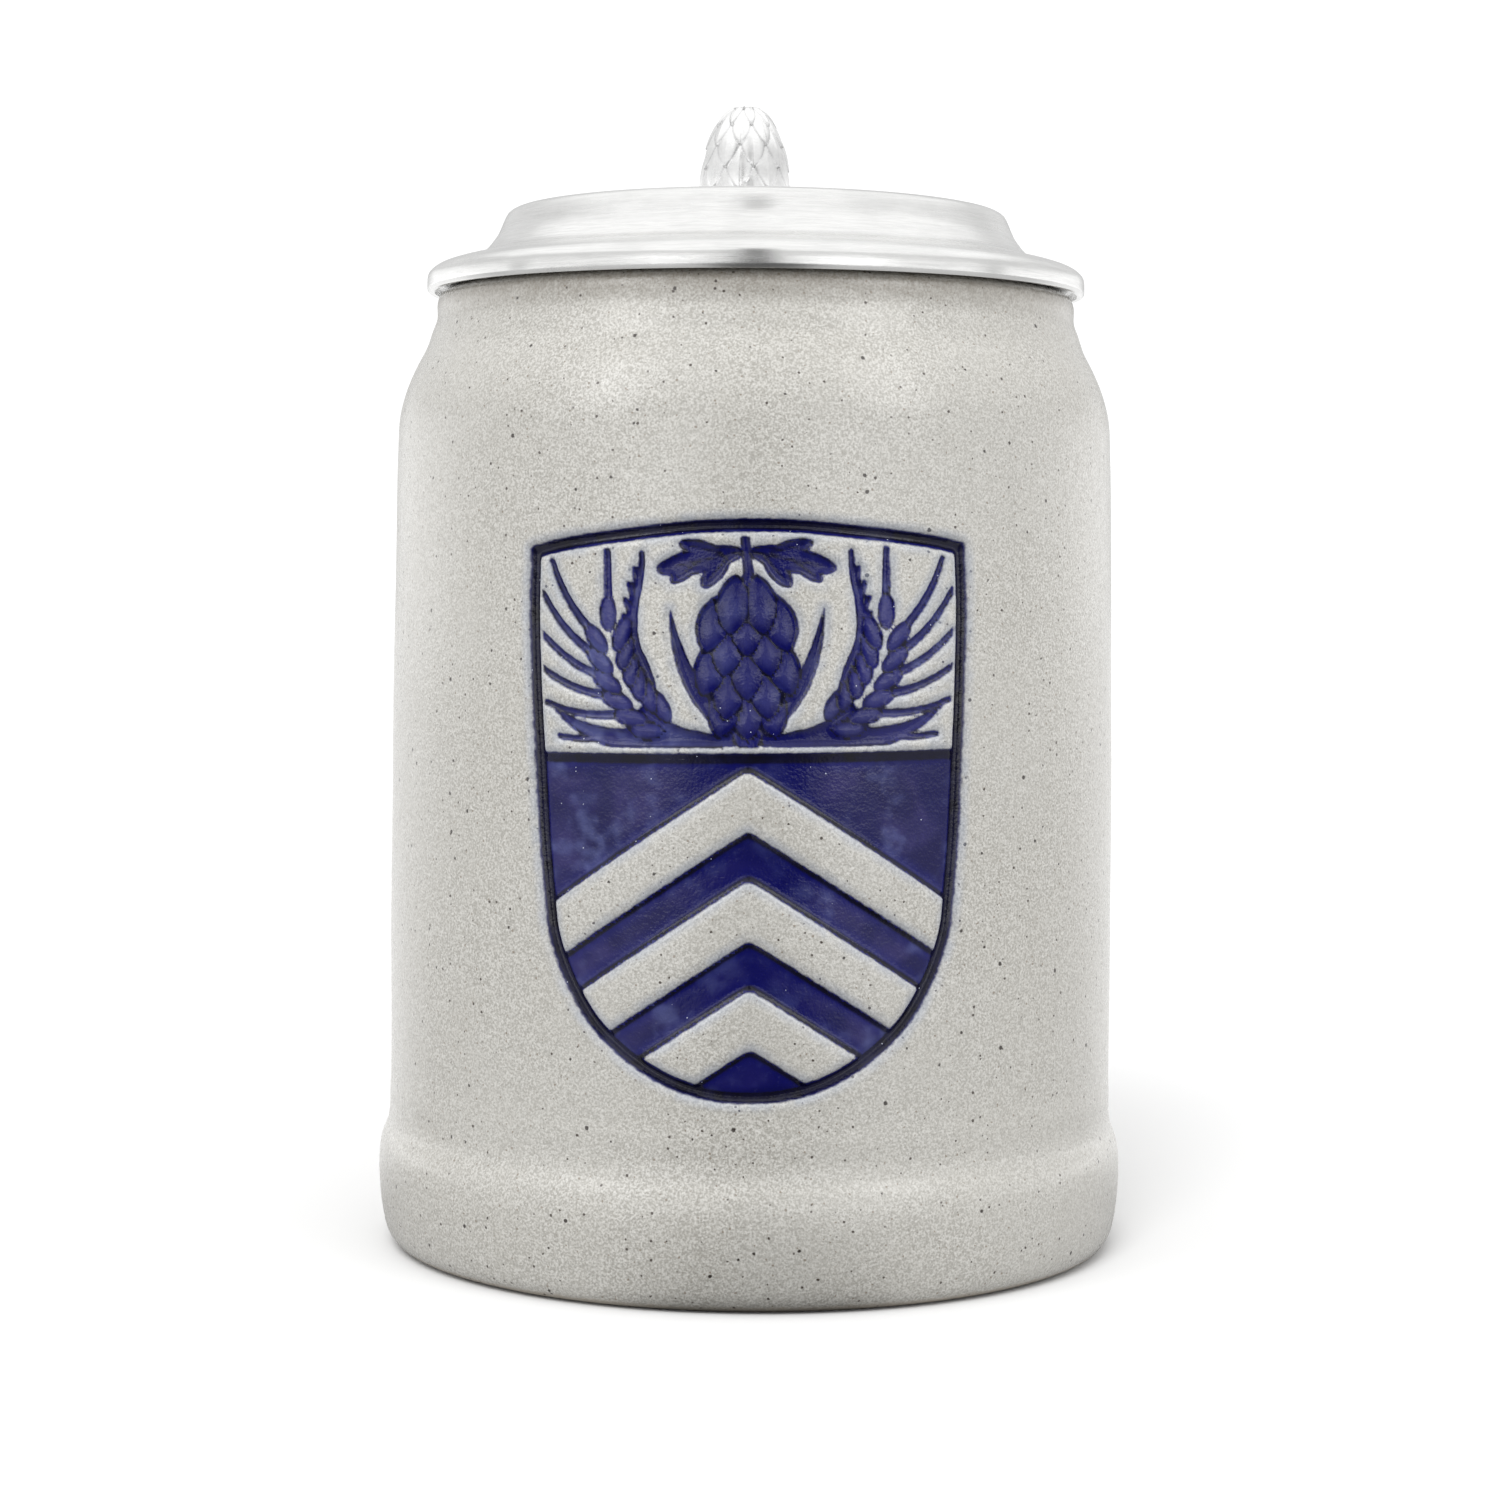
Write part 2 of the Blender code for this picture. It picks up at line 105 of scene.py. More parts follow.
# The emblem, drawn on the unrolled wall: arc from its middle, height.
SHIELD_HALF = [  # centre line of the incised border
    (0.0, 94.15), (6.0, 93.98), (12.0, 93.4), (18.2, 92.7), (23.1, 92.05), (27.15, 91.25),
    (27.4, 85.0), (27.3, 79.0), (27.05, 73.0), (26.7, 67.0), (26.4, 61.0), (26.0, 55.0),
    (25.35, 49.0), (24.95, 46.0), (24.15, 43.3), (22.9, 40.35), (21.33, 37.64), (19.3, 34.83),
    (16.4, 32.1), (12.5, 29.4), (8.05, 27.36), (3.4, 26.34), (0.0, 26.17),
]
SHIELD_CORNER = 5
BORDER_HALF = 0.80
DIVIDE_Z = 66.8  # the shield's upper and lower fields meet here
# Rolled on by hand: a little to the left of the handle's plane, and leaning a little.
EMBLEM_SHIFT, EMBLEM_LEAN, EMBLEM_PIVOT = -1.9, math.radians(0.85), 50.0
# Bezier control points of the right half's plants.
EAR_CURVE = [(2.0, 68.6), (11.5, 68.9), (17.2, 74.5), (17.0, 83.4)]
BLADE_CURVE = [(3.4, 68.4), (10.0, 70.2), (16.0, 66.2), (24.4, 72.4)]
SHOOT_CURVE = [(1.9, 69.4), (4.6, 72.0), (8.3, 76.0), (9.2, 84.2)]
GRAIN_PAIRS, AWN_STEPS, STEM_STEPS = 6, 6, 12
HOP_CENTRE_Z = 78.3
HOP_SCALE_ROWS = [  # height, arcs of the scales
    (84.7, (-1.6, 1.6)), (82.3, (-3.9, 0.0, 3.9)), (79.7, (-2.2, 2.2)), (77.1, (-4.2, 0.0, 4.2)),
    (74.6, (-2.1, 2.1)), (72.4, (-2.7, 0.0, 2.7)), (70.7, (0.0,)),
]
HOP_LEAVES = [  # lean in radians, length, half width, root
    (-0.20, 10.4, 1.55, (0.5, 91.0)), (-0.85, 4.6, 1.15, (2.2, 90.4)),
    (0.22, 5.0, 1.0, (3.0, 90.9)), (-0.62, 4.2, 0.95, (5.6, 90.0)),
]
CHEVRON_TOPS, CHEVRON_SLOPE, CHEVRON_HALF = (61.6, 48.6, 35.6), math.radians(33), 2.95
NOWHERE = -9.0  # a field's value far outside every shape

# The finely meshed part of the wall that carries the emblem.
ARC_HALF, ARC_STEP, ARC_RADIUS = 32.0, 0.335, 47.5
ZONE_Z0, ZONE_Z1, ZONE_STEP = 23.6, 96.6, 0.36
REST_STEPS = 86  # columns round the rest of the mug
ABOVE_STEP = 1.4
FIELD_LIMIT = 6.0  # stored glaze and line fields are held within this


# ------------------------------------------------------------------- helpers
def between(start, end, t, t_start, t_end):
    span = t_end - t_start
    return (t_end - t) / span * start + (t - t_start) / span * end


def smooth_chain(keys, spacing, sharp=()):
    """Centripetal Catmull-Rom through keys, resampled.

    The first two numbers of a key are a position; keys whose index is in sharp stay corners.
    """
    keys = [np.array(k, float) for k in keys]
    cuts = [0, *sorted(sharp), len(keys) - 1]
    out = []
    for c0, c1 in zip(cuts, cuts[1:]):
        part = keys[c0:c1 + 1]
        for i in range(len(part) - 1):
            p1, p2 = part[i], part[i + 1]
            p0 = part[i - 1] if i > 0 else 2 * p1 - p2
            p3 = part[i + 2] if i + 2 < len(part) else 2 * p2 - p1
            knots = [0.0]
            for start, end in ((p0, p1), (p1, p2), (p2, p3)):
                knots.append(knots[-1] + max(math.dist(start[:2], end[:2]), 1e-6) ** 0.5)
            t0, t1, t2, t3 = knots
            count = max(1, math.ceil(math.dist(p1[:2], p2[:2]) / spacing))
            for k in range(count):
                t = t1 + (t2 - t1) * k / count
                a1 = between(p0, p1, t, t0, t1)
                a2 = between(p1, p2, t, t1, t2)
                a3 = between(p2, p3, t, t2, t3)
                b1 = between(a1, a2, t, t0, t2)
                b2 = between(a2, a3, t, t1, t3)
                out.append(between(b1, b2, t, t1, t2))
    out.append(keys[-1])
    return np.array(out)


def rounded(points):
    return [tuple(p) for p in smooth_chain(points, 0.5)]


def travelled(points):
    """Length along a chain up to each of its points."""
    return np.concatenate([[0], np.cumsum(np.hypot(np.diff(points[:, 0]), np.diff(points[:, 1])))])


def step(x, lo, hi):
    """Smooth step from 0 at lo to 1 at hi."""
    t = np.clip((x - lo) / (hi - lo), 0, 1)
    return t * t * (3 - 2 * t)


def shade(ob, angle=None):
    """Smooth shading; edges steeper than angle, in degrees, stay sharp."""
    ob.data.shade_smooth()
    if angle is not None:
        ob.data.set_sharp_from_angle(angle=math.radians(angle))


def link(name, data):
    ob = bpy.data.objects.new(name, data)
    bpy.context.scene.collection.objects.link(ob)
    return ob


def mesh_object(name, verts, faces, angle=None):
    """A smooth object from vertices in millimetres."""
    mesh = bpy.data.meshes.new(name)
    mesh.from_pydata([tuple(v) for v in np.asarray(verts) * MM], [], faces)
    mesh.validate()
    mesh.update()
    ob = link(name, mesh)
    shade(ob, angle)
    return ob


def grid_faces(rows, cols, start=0, flip=False):
    """Quads of a grid, closed round its columns, whose vertex (r, c) is start + r * cols + c."""
    faces = []
    for r in range(rows - 1):
        a = start + r * cols
        b = a + cols
        for c in range(cols):
            d = (c + 1) % cols
            quad = (a + c, a + d, b + d, b + c)
            faces.append(quad[::-1] if flip else quad)
    return faces


def capped_grid_faces(rows, cols, flip=False):
    """A closed grid with a fan at each end; the two poles follow the grid's vertices."""
    faces = grid_faces(rows, cols, flip=flip)
    pole = rows * cols
    last = pole - cols
    for c in range(cols):
        d = (c + 1) % cols
        for tip, v, w in ((pole, d, c), (pole + 1, last + c, last + d)):
            faces.append((tip, w, v) if flip else (tip, v, w))
    return faces


def turns(steps):
    return np.arange(steps) * 2 * math.pi / steps


def revolve(name, chain, steps, angle):
    """Turns a chain of (radius, height) that starts and ends on the axis, outer side first."""
    rings = [p for p in chain if p[0] > 1e-6]
    theta = turns(steps)
    verts = [
        np.stack([r * np.cos(theta), r * np.sin(theta), np.full(steps, z)], 1) for r, z in rings
    ]
    verts.append([(0, 0, chain[0][1]), (0, 0, chain[-1][1])])
    faces = capped_grid_faces(len(rings), steps, flip=True)
    return mesh_object(name, np.vstack(verts), faces, angle)


def fix_normals(ob):
    bm = bmesh.new()
    bm.from_mesh(ob.data)
    bmesh.ops.recalc_face_normals(bm, faces=bm.faces)
    bm.to_mesh(ob.data)
    bm.free()


def store(mesh, name, values):
    attribute = mesh.attributes.new(name, "FLOAT", "POINT")
    attribute.data.foreach_set("value", np.asarray(values, np.float32))


def evaluated_mesh(ob):
    graph = bpy.context.evaluated_depsgraph_get()
    bpy.context.view_layer.update()
    return bpy.data.meshes.new_from_object(ob.evaluated_get(graph), depsgraph=graph)


def apply_modifiers(ob):
    mesh = evaluated_mesh(ob)
    ob.modifiers.clear()
    ob.data = mesh


# ------------------------------------------------- the emblem's flat geometry
def segment(x, z, start, end):
    """Nearest place on a segment, 0 to 1 along it, and the distance to it."""
    run, rise = end[0] - start[0], end[1] - start[1]
    dx, dz = x - start[0], z - start[1]
    t = np.clip((dx * run + dz * rise) / (run * run + rise * rise + 1e-12), 0, 1)
    return t, np.hypot(dx - t * run, dz - t * rise)


def polygon_distance(x, z, loop):
    """Signed distance to a closed loop, positive inside."""
    best = np.full(x.shape, 1e9)
    inside = np.zeros(x.shape, bool)
    for start, end in zip(loop, loop[1:] + loop[:1]):
        best = np.minimum(best, segment(x, z, start, end)[1])
        run, rise = end[0] - start[0], end[1] - start[1]
        if abs(rise) > 1e-12:
            spans = (start[1] > z) != (end[1] > z)
            inside ^= spans & (x < start[0] + (z - start[1]) * run / rise)
    return np.where(inside, best, -best)


def stroke(x, z, points, widths):
    """Positive inside a tapered stroke along points; widths are half widths."""
    best = np.full(x.shape, -1e9)
    for start, end, w0, w1 in zip(points, points[1:], widths, widths[1:]):
        t, distance = segment(x, z, start, end)
        best = np.maximum(best, w0 + (w1 - w0) * t - distance)
    return best


def turned_axes(x, z, centre_x, centre_z, angle):
    """Coordinates along and across a direction through a centre."""
    c, s = math.cos(angle), math.sin(angle)
    dx, dz = x - centre_x, z - centre_z
    return dx * c + dz * s, -dx * s + dz * c


def oval(x, z, centre_x, centre_z, angle, half_w, half_l):
    """Positive inside an ellipse whose long axis points along angle."""
    u, v = turned_axes(x, z, centre_x, centre_z, angle)
    k1 = np.sqrt((u / half_l) ** 2 + (v / half_w) ** 2)
    k2 = np.sqrt((u / half_l ** 2) ** 2 + (v / half_w ** 2) ** 2) + 1e-9
    return -k1 * (k1 - 1) / k2


def bezier(curve, t):
    return tuple(
        (1 - t) ** 3 * a + 3 * (1 - t) ** 2 * t * b + 3 * (1 - t) * t * t * c + t ** 3 * d
        for a, b, c, d in zip(*curve)
    )


def leaf_blade(x, z, curve, steps, half_width, root, power, least):
    """A stroke that swells and tapers; root is how far along the swelling it starts."""
    points = [bezier(curve, t / steps) for t in range(steps + 1)]
    widths = [
        half_width * math.sin(math.pi * (root + (1 - root) * t / steps)) ** power + least
        for t in range(steps + 1)
    ]
    return stroke(x, z, points, widths)


def barley_ear(x, z):
    """Grains in pairs along the ear's curve and one at its tip, each with a long awn."""
    ear = np.full(x.shape, NOWHERE)
    awns = np.full(x.shape, NOWHERE)
    gaps = np.full(x.shape, NOWHERE)
    dome = np.zeros(x.shape)
    awn_widths = [0.60 - 0.20 * j / AWN_STEPS for j in range(AWN_STEPS + 1)]
    for k in range(GRAIN_PAIRS + 1):
        t = 0.36 + 0.62 * k / GRAIN_PAIRS
        root_x, root_z = bezier(EAR_CURVE, t)
        next_x, next_z = bezier(EAR_CURVE, min(t + 0.01, 1.0))
        last_x, last_z = bezier(EAR_CURVE, t - 0.01)
        along = math.atan2(next_z - last_z, next_x - last_x)
        for side in (-1, 1) if k < GRAIN_PAIRS else (0,):
            lean = along + side * math.radians(30)
            grain_x = root_x - side * math.sin(along) * 1.25 + math.cos(lean) * 0.9
            grain_z = root_z + side * math.cos(along) * 1.25 + math.sin(lean) * 0.9
            grain = oval(x, z, grain_x, grain_z, lean, half_w=1.16, half_l=2.25)
            over = grain > -0.02
            dome = np.where(over, np.clip(grain / 0.9, 0, 1) ** 0.6, dome)
            gaps = np.where(over, 0.30 - np.abs(grain - 0.04), gaps)
            ear = np.maximum(ear, grain)

            reach = 9.6 if side < 0 else 8.2
            fan = lean + side * math.radians(4 + 2.5 * (GRAIN_PAIRS - k))
            start_x, start_z = grain_x + math.cos(lean) * 1.8, grain_z + math.sin(lean) * 1.8
            points = []
            for j in range(AWN_STEPS + 1):
                q = j / AWN_STEPS
                bend = fan - side * math.radians(14) * q
                points.append((
                    start_x + math.cos(bend) * reach * q,
                    start_z + math.sin(bend) * reach * q,
                ))
            awns = np.maximum(awns, stroke(x, z, points, awn_widths))
    return ear, awns, dome, gaps


def hop_cone(x, z, dome, gaps):
    """Lays a hop cone of pointed, overlapping scales over the dome and gap fields."""
    cone = np.minimum(oval(x, z, 0.0, HOP_CENTRE_Z, math.pi / 2, half_w=5.0, half_l=7.9), 0.5)
    gaps = np.where(cone > 0, 0.3, gaps)
    dome = np.where(cone > 0, 0.0, dome)
    scales = [(sx, height) for height, places in HOP_SCALE_ROWS for sx in places]
    circle_radius, circle_offset = 4.5, 2.35  # a scale is where two circles cross
    for scale_x, height in reversed(scales):
        lean = -math.pi / 2 + 0.075 * scale_x
        u, v = turned_axes(x, z, scale_x, height + 0.10 * abs(scale_x), lean)
        scale = circle_radius - np.hypot(u - 0.2, np.abs(v) + circle_offset)
        over = scale > -0.02
        swelling = np.clip(scale / 1.5, 0, 1) ** 0.55 * (0.70 + 0.30 * np.clip((u + 2) / 4, 0, 1))
        dome = np.where(over, swelling, dome)
        gaps = np.where(over, 0.34 - np.abs(scale - 0.06), gaps)
        cone = np.maximum(cone, scale)
    return cone, dome, gaps


def hop_leaves(x, z):
    leaf = np.full(x.shape, NOWHERE)
    vein = np.full(x.shape, NOWHERE)
    for lean, length, half, (root_x, root_z) in HOP_LEAVES:
        run, rise = math.cos(lean) * length, math.sin(lean) * length
        body = oval(x, z, root_x + run / 2, root_z + rise / 2, lean, half, length / 2 + 0.2)
        vein_line = [(root_x, root_z), (root_x + run * 0.8, root_z + rise * 0.8)]
        leaf = np.maximum(leaf, body)
        vein = np.maximum(vein, stroke(x, z, vein_line, [0.26, 0.14]))
    return leaf, vein


def chevrons(x, z):
    bars = np.full(x.shape, NOWHERE)
    for top in CHEVRON_TOPS:
        fall = np.sqrt(x * x + 0.25) * math.tan(CHEVRON_SLOPE)
        across = (z + fall - top) * math.cos(CHEVRON_SLOPE)
        bars = np.maximum(bars, CHEVRON_HALF - np.abs(across))
    return bars


def emblem(arc, z):
    """The shield on the unrolled wall: the fields the glaze is painted by, and its relief.

    glaze is positive where cobalt lies, line in the darkest incised lines; pool and dome run from 0
    to 1: pool is a painted dark reflection, deeper blue down the shield's middle and in the hop
    cone where the glaze mirrors dark, and dome is how far figures swell inside the cobalt.
    """
    c, s = math.cos(EMBLEM_LEAN), math.sin(EMBLEM_LEAN)
    arc, z = arc - EMBLEM_SHIFT, z - EMBLEM_PIVOT
    arc, z = arc * c + z * s, z * c - arc * s + EMBLEM_PIVOT
    right = smooth_chain(SHIELD_HALF, 0.8, sharp=(SHIELD_CORNER,))
    loop = [tuple(p) for p in right] + [(-p[0], p[1]) for p in right[::-1][1:-1]]
    border = polygon_distance(arc, z, loop)
    ring = BORDER_HALF - np.abs(border)
    mirrored = np.abs(arc)  # the charges are the same on both sides

    # Upper field: two ears of barley that open to the sides, each with a stem and two blades,
    # and a hop cone that hangs in the middle from a stalk between leaves.
    ear, awns, dome, gaps = barley_ear(mirrored, z)
    stem_points = [bezier(EAR_CURVE, t / STEM_STEPS * 0.46) for t in range(STEM_STEPS + 1)]
    stem = stroke(mirrored, z, stem_points, [0.70] * (STEM_STEPS + 1))
    blade = leaf_blade(mirrored, z, BLADE_CURVE, steps=16,
                       half_width=1.25, root=0.12, power=0.7, least=0.12)
    blade = np.where(z < 76, blade, NOWHERE)
    shoot = leaf_blade(mirrored, z, SHOOT_CURVE, steps=14,
                       half_width=0.95, root=0.10, power=0.8, least=0.10)
    shoot = np.where(mirrored < 12, shoot, NOWHERE)
    cone, dome, gaps = hop_cone(arc, z, dome, gaps)
    stalk = stroke(arc, z, [(0.0, 86.2), (0.25, 88.6), (-0.1, 92.6)], [0.95, 0.66, 0.60])
    leaf, vein = hop_leaves(mirrored, z)
    leaf_lines = np.maximum(vein, 0.28 - np.abs(leaf - 0.1))
    gaps = np.where((leaf > 0) & (cone <= 0), leaf_lines, gaps)
    upper = np.maximum.reduce([ear, awns, stem, blade, shoot, cone, stalk, leaf])
    upper = np.minimum(upper, np.minimum(border - 1.25, z - DIVIDE_Z - 1.0))
    in_figure = np.maximum(cone, ear) > 0

    # Lower field: raised chevrons on a cobalt ground.
    bars = chevrons(mirrored, z)
    ground = np.minimum(np.minimum(border + 0.5, DIVIDE_Z - 0.2 - z), -bars)
    divide = np.minimum(0.42 - np.abs(z - DIVIDE_Z), border + 0.3)

    glaze = np.maximum.reduce([ring, upper, ground, divide])
    # Darkest: border, dividing line, gaps between scales, and corners at raised edges.
    line = np.maximum.reduce([
        ring - 0.06 - 0.30 * np.clip(border, 0, 0.8),
        divide - 0.05,
        np.where(in_figure | (leaf > 0), gaps, NOWHERE),
        np.where(ground > 0, 0.50 - np.abs(ground - 0.22), NOWHERE),
        np.where(upper > 0, 0.30 - upper, NOWHERE),
    ])
    # Painted dark reflection: the blue is deepened down the shield's middle and in the hop cone,
    # where the glaze mirrors dark.
    in_cone = np.clip(cone / 2.4, 0, 1) * np.exp(-(arc / 7.5) ** 2)
    dark_reflection_band = np.maximum(in_cone, 0.70 * np.exp(-(arc / 9.0) ** 2))
    dome = dome * in_figure

    sunk = step(np.maximum.reduce([ring + 0.05, upper, ground, divide]), -0.18, 0.42)
    trench = np.clip(1 - (border / BORDER_HALF) ** 2, 0, 1)
    raised = step(np.minimum(bars, border - 0.8), 0.0, 1.6) * (z < DIVIDE_Z)
    relief = -0.74 * sunk - 0.40 * trench + 0.46 * dome * sunk + 0.12 * raised
    return {"glaze": glaze, "line": line, "dark_reflection_band": dark_reflection_band, "dome": dome}, relief


# --------------------------------------------------------------- the mug body
WALL = smooth_chain(MUG_OUTSIDE[:-1], 0.35)
WALL = WALL[np.argsort(WALL[:, 1])]


def wall_radius(z):
    """Outer radius between the shoulder and the foot."""
    return np.interp(z, WALL[:, 1], WALL[:, 0])


def soften_relief(relief):
    """Salt glaze softens the modelling."""
    kernel = np.array([0.22, 0.56, 0.22])
    for axis in (0, 1):
        relief = np.apply_along_axis(
            lambda v: np.convolve(np.pad(v, 1, mode="edge"), kernel, "valid"), axis, relief
        )
    return relief


HANDLE_RING = 44
# Distances of the closely set stations from each root, and the spacing between them.
ROOT_STATIONS = [-0.5, 0.0, 0.12, 0.35, 0.7, 1.15, 1.7, 2.35, 3.1, 4.0, 5.0, 6.1, 7.3]
GRIP_START, GRIP_STEP = 8.6, 1.35


def handle_rings():
    """The handle: an oval roll that flares into the wall at both roots."""
    path = smooth_chain(HANDLE_KEYS, 1.3)
    outside = np.flatnonzero(path[:, 0] - wall_radius(path[:, 1]) > 0)
    path = path[outside[0]:outside[-1] + 1]
    length = travelled(path)
    total = length[-1]
    stations = ROOT_STATIONS + list(np.arange(GRIP_START, total - GRIP_START, GRIP_STEP))
    stations += [total - e for e in reversed(ROOT_STATIONS)]
    ring = turns(HANDLE_RING)
    probe = 0.6  # the direction is taken between two points this far off

    def along(distance):
        return [np.interp(min(max(distance, 0), total), length, path[:, i]) for i in range(3)]

    rings = []
    for station in stations:
        at = min(max(station, 0), total)
        y, z, size = along(at)
        ahead, back = along(at + probe), along(at - probe)
        course = np.array([ahead[0] - back[0], ahead[1] - back[1]])
        course /= np.linalg.norm(course)

        upper_end = station < total / 2
        gap = station if upper_end else total - station  # distance to the nearer root
        fillet, root_size = (4.6, 1.03) if upper_end else (6.0, 1.02)
        rise = min(max(gap, 0) / fillet, 1.0)
        flare = fillet * 0.62 * (1 - math.sqrt(max(0.0, 1 - (1 - rise) ** 2)))
        grip = min(max((gap - 6) / 6, 0), 1)
        size = root_size * (1 - grip) + size * grip
        ring_x = (HANDLE_HALF_WIDE * size + flare) * np.cos(ring)
        ring_out = (HANDLE_HALF_THICK * size + flare) * np.sin(ring)
        ring_y = y - course[1] * ring_out
        ring_z = z + course[0] * ring_out
        # Near a root the ring bends to follow the wall.
        follow = 1 - float(step(np.array(gap), 0.8, fillet * 1.9))
        wall_y = np.sqrt(np.maximum(wall_radius(ring_z) ** 2 - ring_x ** 2, 0))
        on_wall = wall_y + gap * abs(course[0])
        ring_y = ring_y * (1 - follow) + on_wall * follow
        rings.append(np.stack([ring_x, ring_y, ring_z], 1))
    return rings


def build_mug():
    zone_angle = ARC_HALF / ARC_RADIUS
    zone_cols = round(2 * ARC_HALF / ARC_STEP) + 1
    zone = np.linspace(-zone_angle, zone_angle, zone_cols)
    rest_share = np.arange(1, REST_STEPS) / REST_STEPS
    rest = zone_angle + (2 * math.pi - 2 * zone_angle) * rest_share
    around = np.concatenate([zone, rest])  # angle from the front (-Y), towards +X
    cols = len(around)

    # The profile's rows, from the middle of the floor inside to the middle of the base.
    inside = smooth_chain(MUG_INSIDE, 3.0)[1:]
    lip = smooth_chain([MUG_INSIDE[-1]] + MUG_OUTSIDE[:LIP_COUNT], 0.7)[1:]
    lip = lip[lip[:, 1] > ZONE_Z1 + 2.5]
    above_z = np.arange(lip[-1][1] - ABOVE_STEP, ZONE_Z1 + 0.3, -ABOVE_STEP)
    above = [(wall_radius(z), z) for z in above_z]
    field_z = np.arange(ZONE_Z1, ZONE_Z0 - 1e-6, -ZONE_STEP)
    field = [(wall_radius(z), z) for z in field_z]
    below_z = ZONE_Z0 - 0.8
    below_keys = [(wall_radius(below_z), below_z), (47.78, 20.5)] + MUG_OUTSIDE[FOOT_START:-1]
    below = smooth_chain(below_keys, 0.75)
    under = [(44.0, 0.0), (30.0, 0.0), (12.0, 0.0)]
    chain = np.vstack([inside, lip, above, field, below, under])
    start = len(inside) + len(lip) + len(above)
    rows = len(chain)
    radius = np.repeat(chain[:, 0:1], cols, 1)
    height = np.repeat(chain[:, 1:2], cols, 1)
    angle = np.repeat(around[None, :], rows, 0)

    # Hand-turned and fired clay: the wall is only true to about a tenth of a millimetre.
    outer = np.zeros((rows, 1))
    outer[len(inside):start + len(field) + len(below), 0] = 1
    wander = (
        0.05 * np.sin(2 * angle + 0.7 + height * 0.02)
        + 0.03 * np.sin(3 * angle - 1.1)
        + 0.025 * np.sin(height * 0.21 + 1.5 * np.sin(angle))
    )
    radius = radius + outer * wander * step(height, 0.0, 6.0)

    window = (slice(start, start + len(field)), slice(zone_cols))
    fields, relief = emblem(angle[window] * chain[window[0], 0:1], height[window])
    radius[window] += soften_relief(relief)

    verts = np.stack([radius * np.sin(angle), -radius * np.cos(angle), height], -1)
    poles = [(0, 0, MUG_INSIDE[0][1]), (0, 0, 0)]
    verts = np.vstack([verts.reshape(-1, 3), poles])
    faces = capped_grid_faces(rows, cols)

    base = len(verts)
    rings = handle_rings()
    verts = np.vstack([verts, *rings])
    faces += grid_faces(len(rings), HANDLE_RING, start=base)
    last = base + (len(rings) - 1) * HANDLE_RING
    faces.append(tuple(range(base, base + HANDLE_RING)))
    faces.append(tuple(range(last, last + HANDLE_RING))[::-1])

    ob = mesh_object("mug_shell", verts, faces)
    for name, values in fields.items():
        signed = name in ("glaze", "line")
        stored = np.full(len(ob.data.vertices), -FIELD_LIMIT if signed else 0.0)
        grid = stored[:rows * cols].reshape(rows, cols)
        grid[window] = np.clip(values, -FIELD_LIMIT, FIELD_LIMIT) if signed else values
        store(ob.data, name, stored)
    fix_normals(ob)
    shade(ob)
    return ob


# ------------------------------------------------------------------ materials
class Graph:
    """A short way to write node trees."""

    def __init__(self, tree):
        self.tree = tree
        tree.nodes.clear()

    def node(self, kind):
        return self.tree.nodes.new("ShaderNode" + kind)

    def put(self, socket, value):
        if isinstance(value, bpy.types.NodeSocket):
            self.tree.links.new(value, socket)
        elif isinstance(value, tuple) and socket.type == "RGBA":
            socket.default_value = (*value, 1.0)
        else:
            socket.default_value = value

    def math(self, op, *values):
        node = self.node("Math")
        node.operation = op
        for socket, value in zip(node.inputs, values):
            self.put(socket, value)
        return node.outputs[0]

    def times(self, a, b):
        return self.math("MULTIPLY", a, b)

    def plus(self, a, b):
        return self.math("ADD", a, b)

    def minus(self, a, b):
        return self.math("SUBTRACT", a, b)

    def ramp(self, value, lo, hi, at_lo=0.0, at_hi=1.0):
        """A smooth step from at_lo, where value is lo or less, to at_hi, where it is hi or more."""
        node = self.node("MapRange")
        node.interpolation_type = "SMOOTHSTEP"
        self.put(node.inputs["Value"], value)
        for name, number in zip(("From Min", "From Max", "To Min", "To Max"),
                                (lo, hi, at_lo, at_hi)):
            node.inputs[name].default_value = number
        return node.outputs["Result"]

    def split(self, vector):
        node = self.node("SeparateXYZ")
        self.put(node.inputs[0], vector)
        return node.outputs

    def mix_value(self, factor, a, b):
        node = self.node("Mix")
        for index, value in ((0, factor), (2, a), (3, b)):
            self.put(node.inputs[index], value)
        return node.outputs[0]


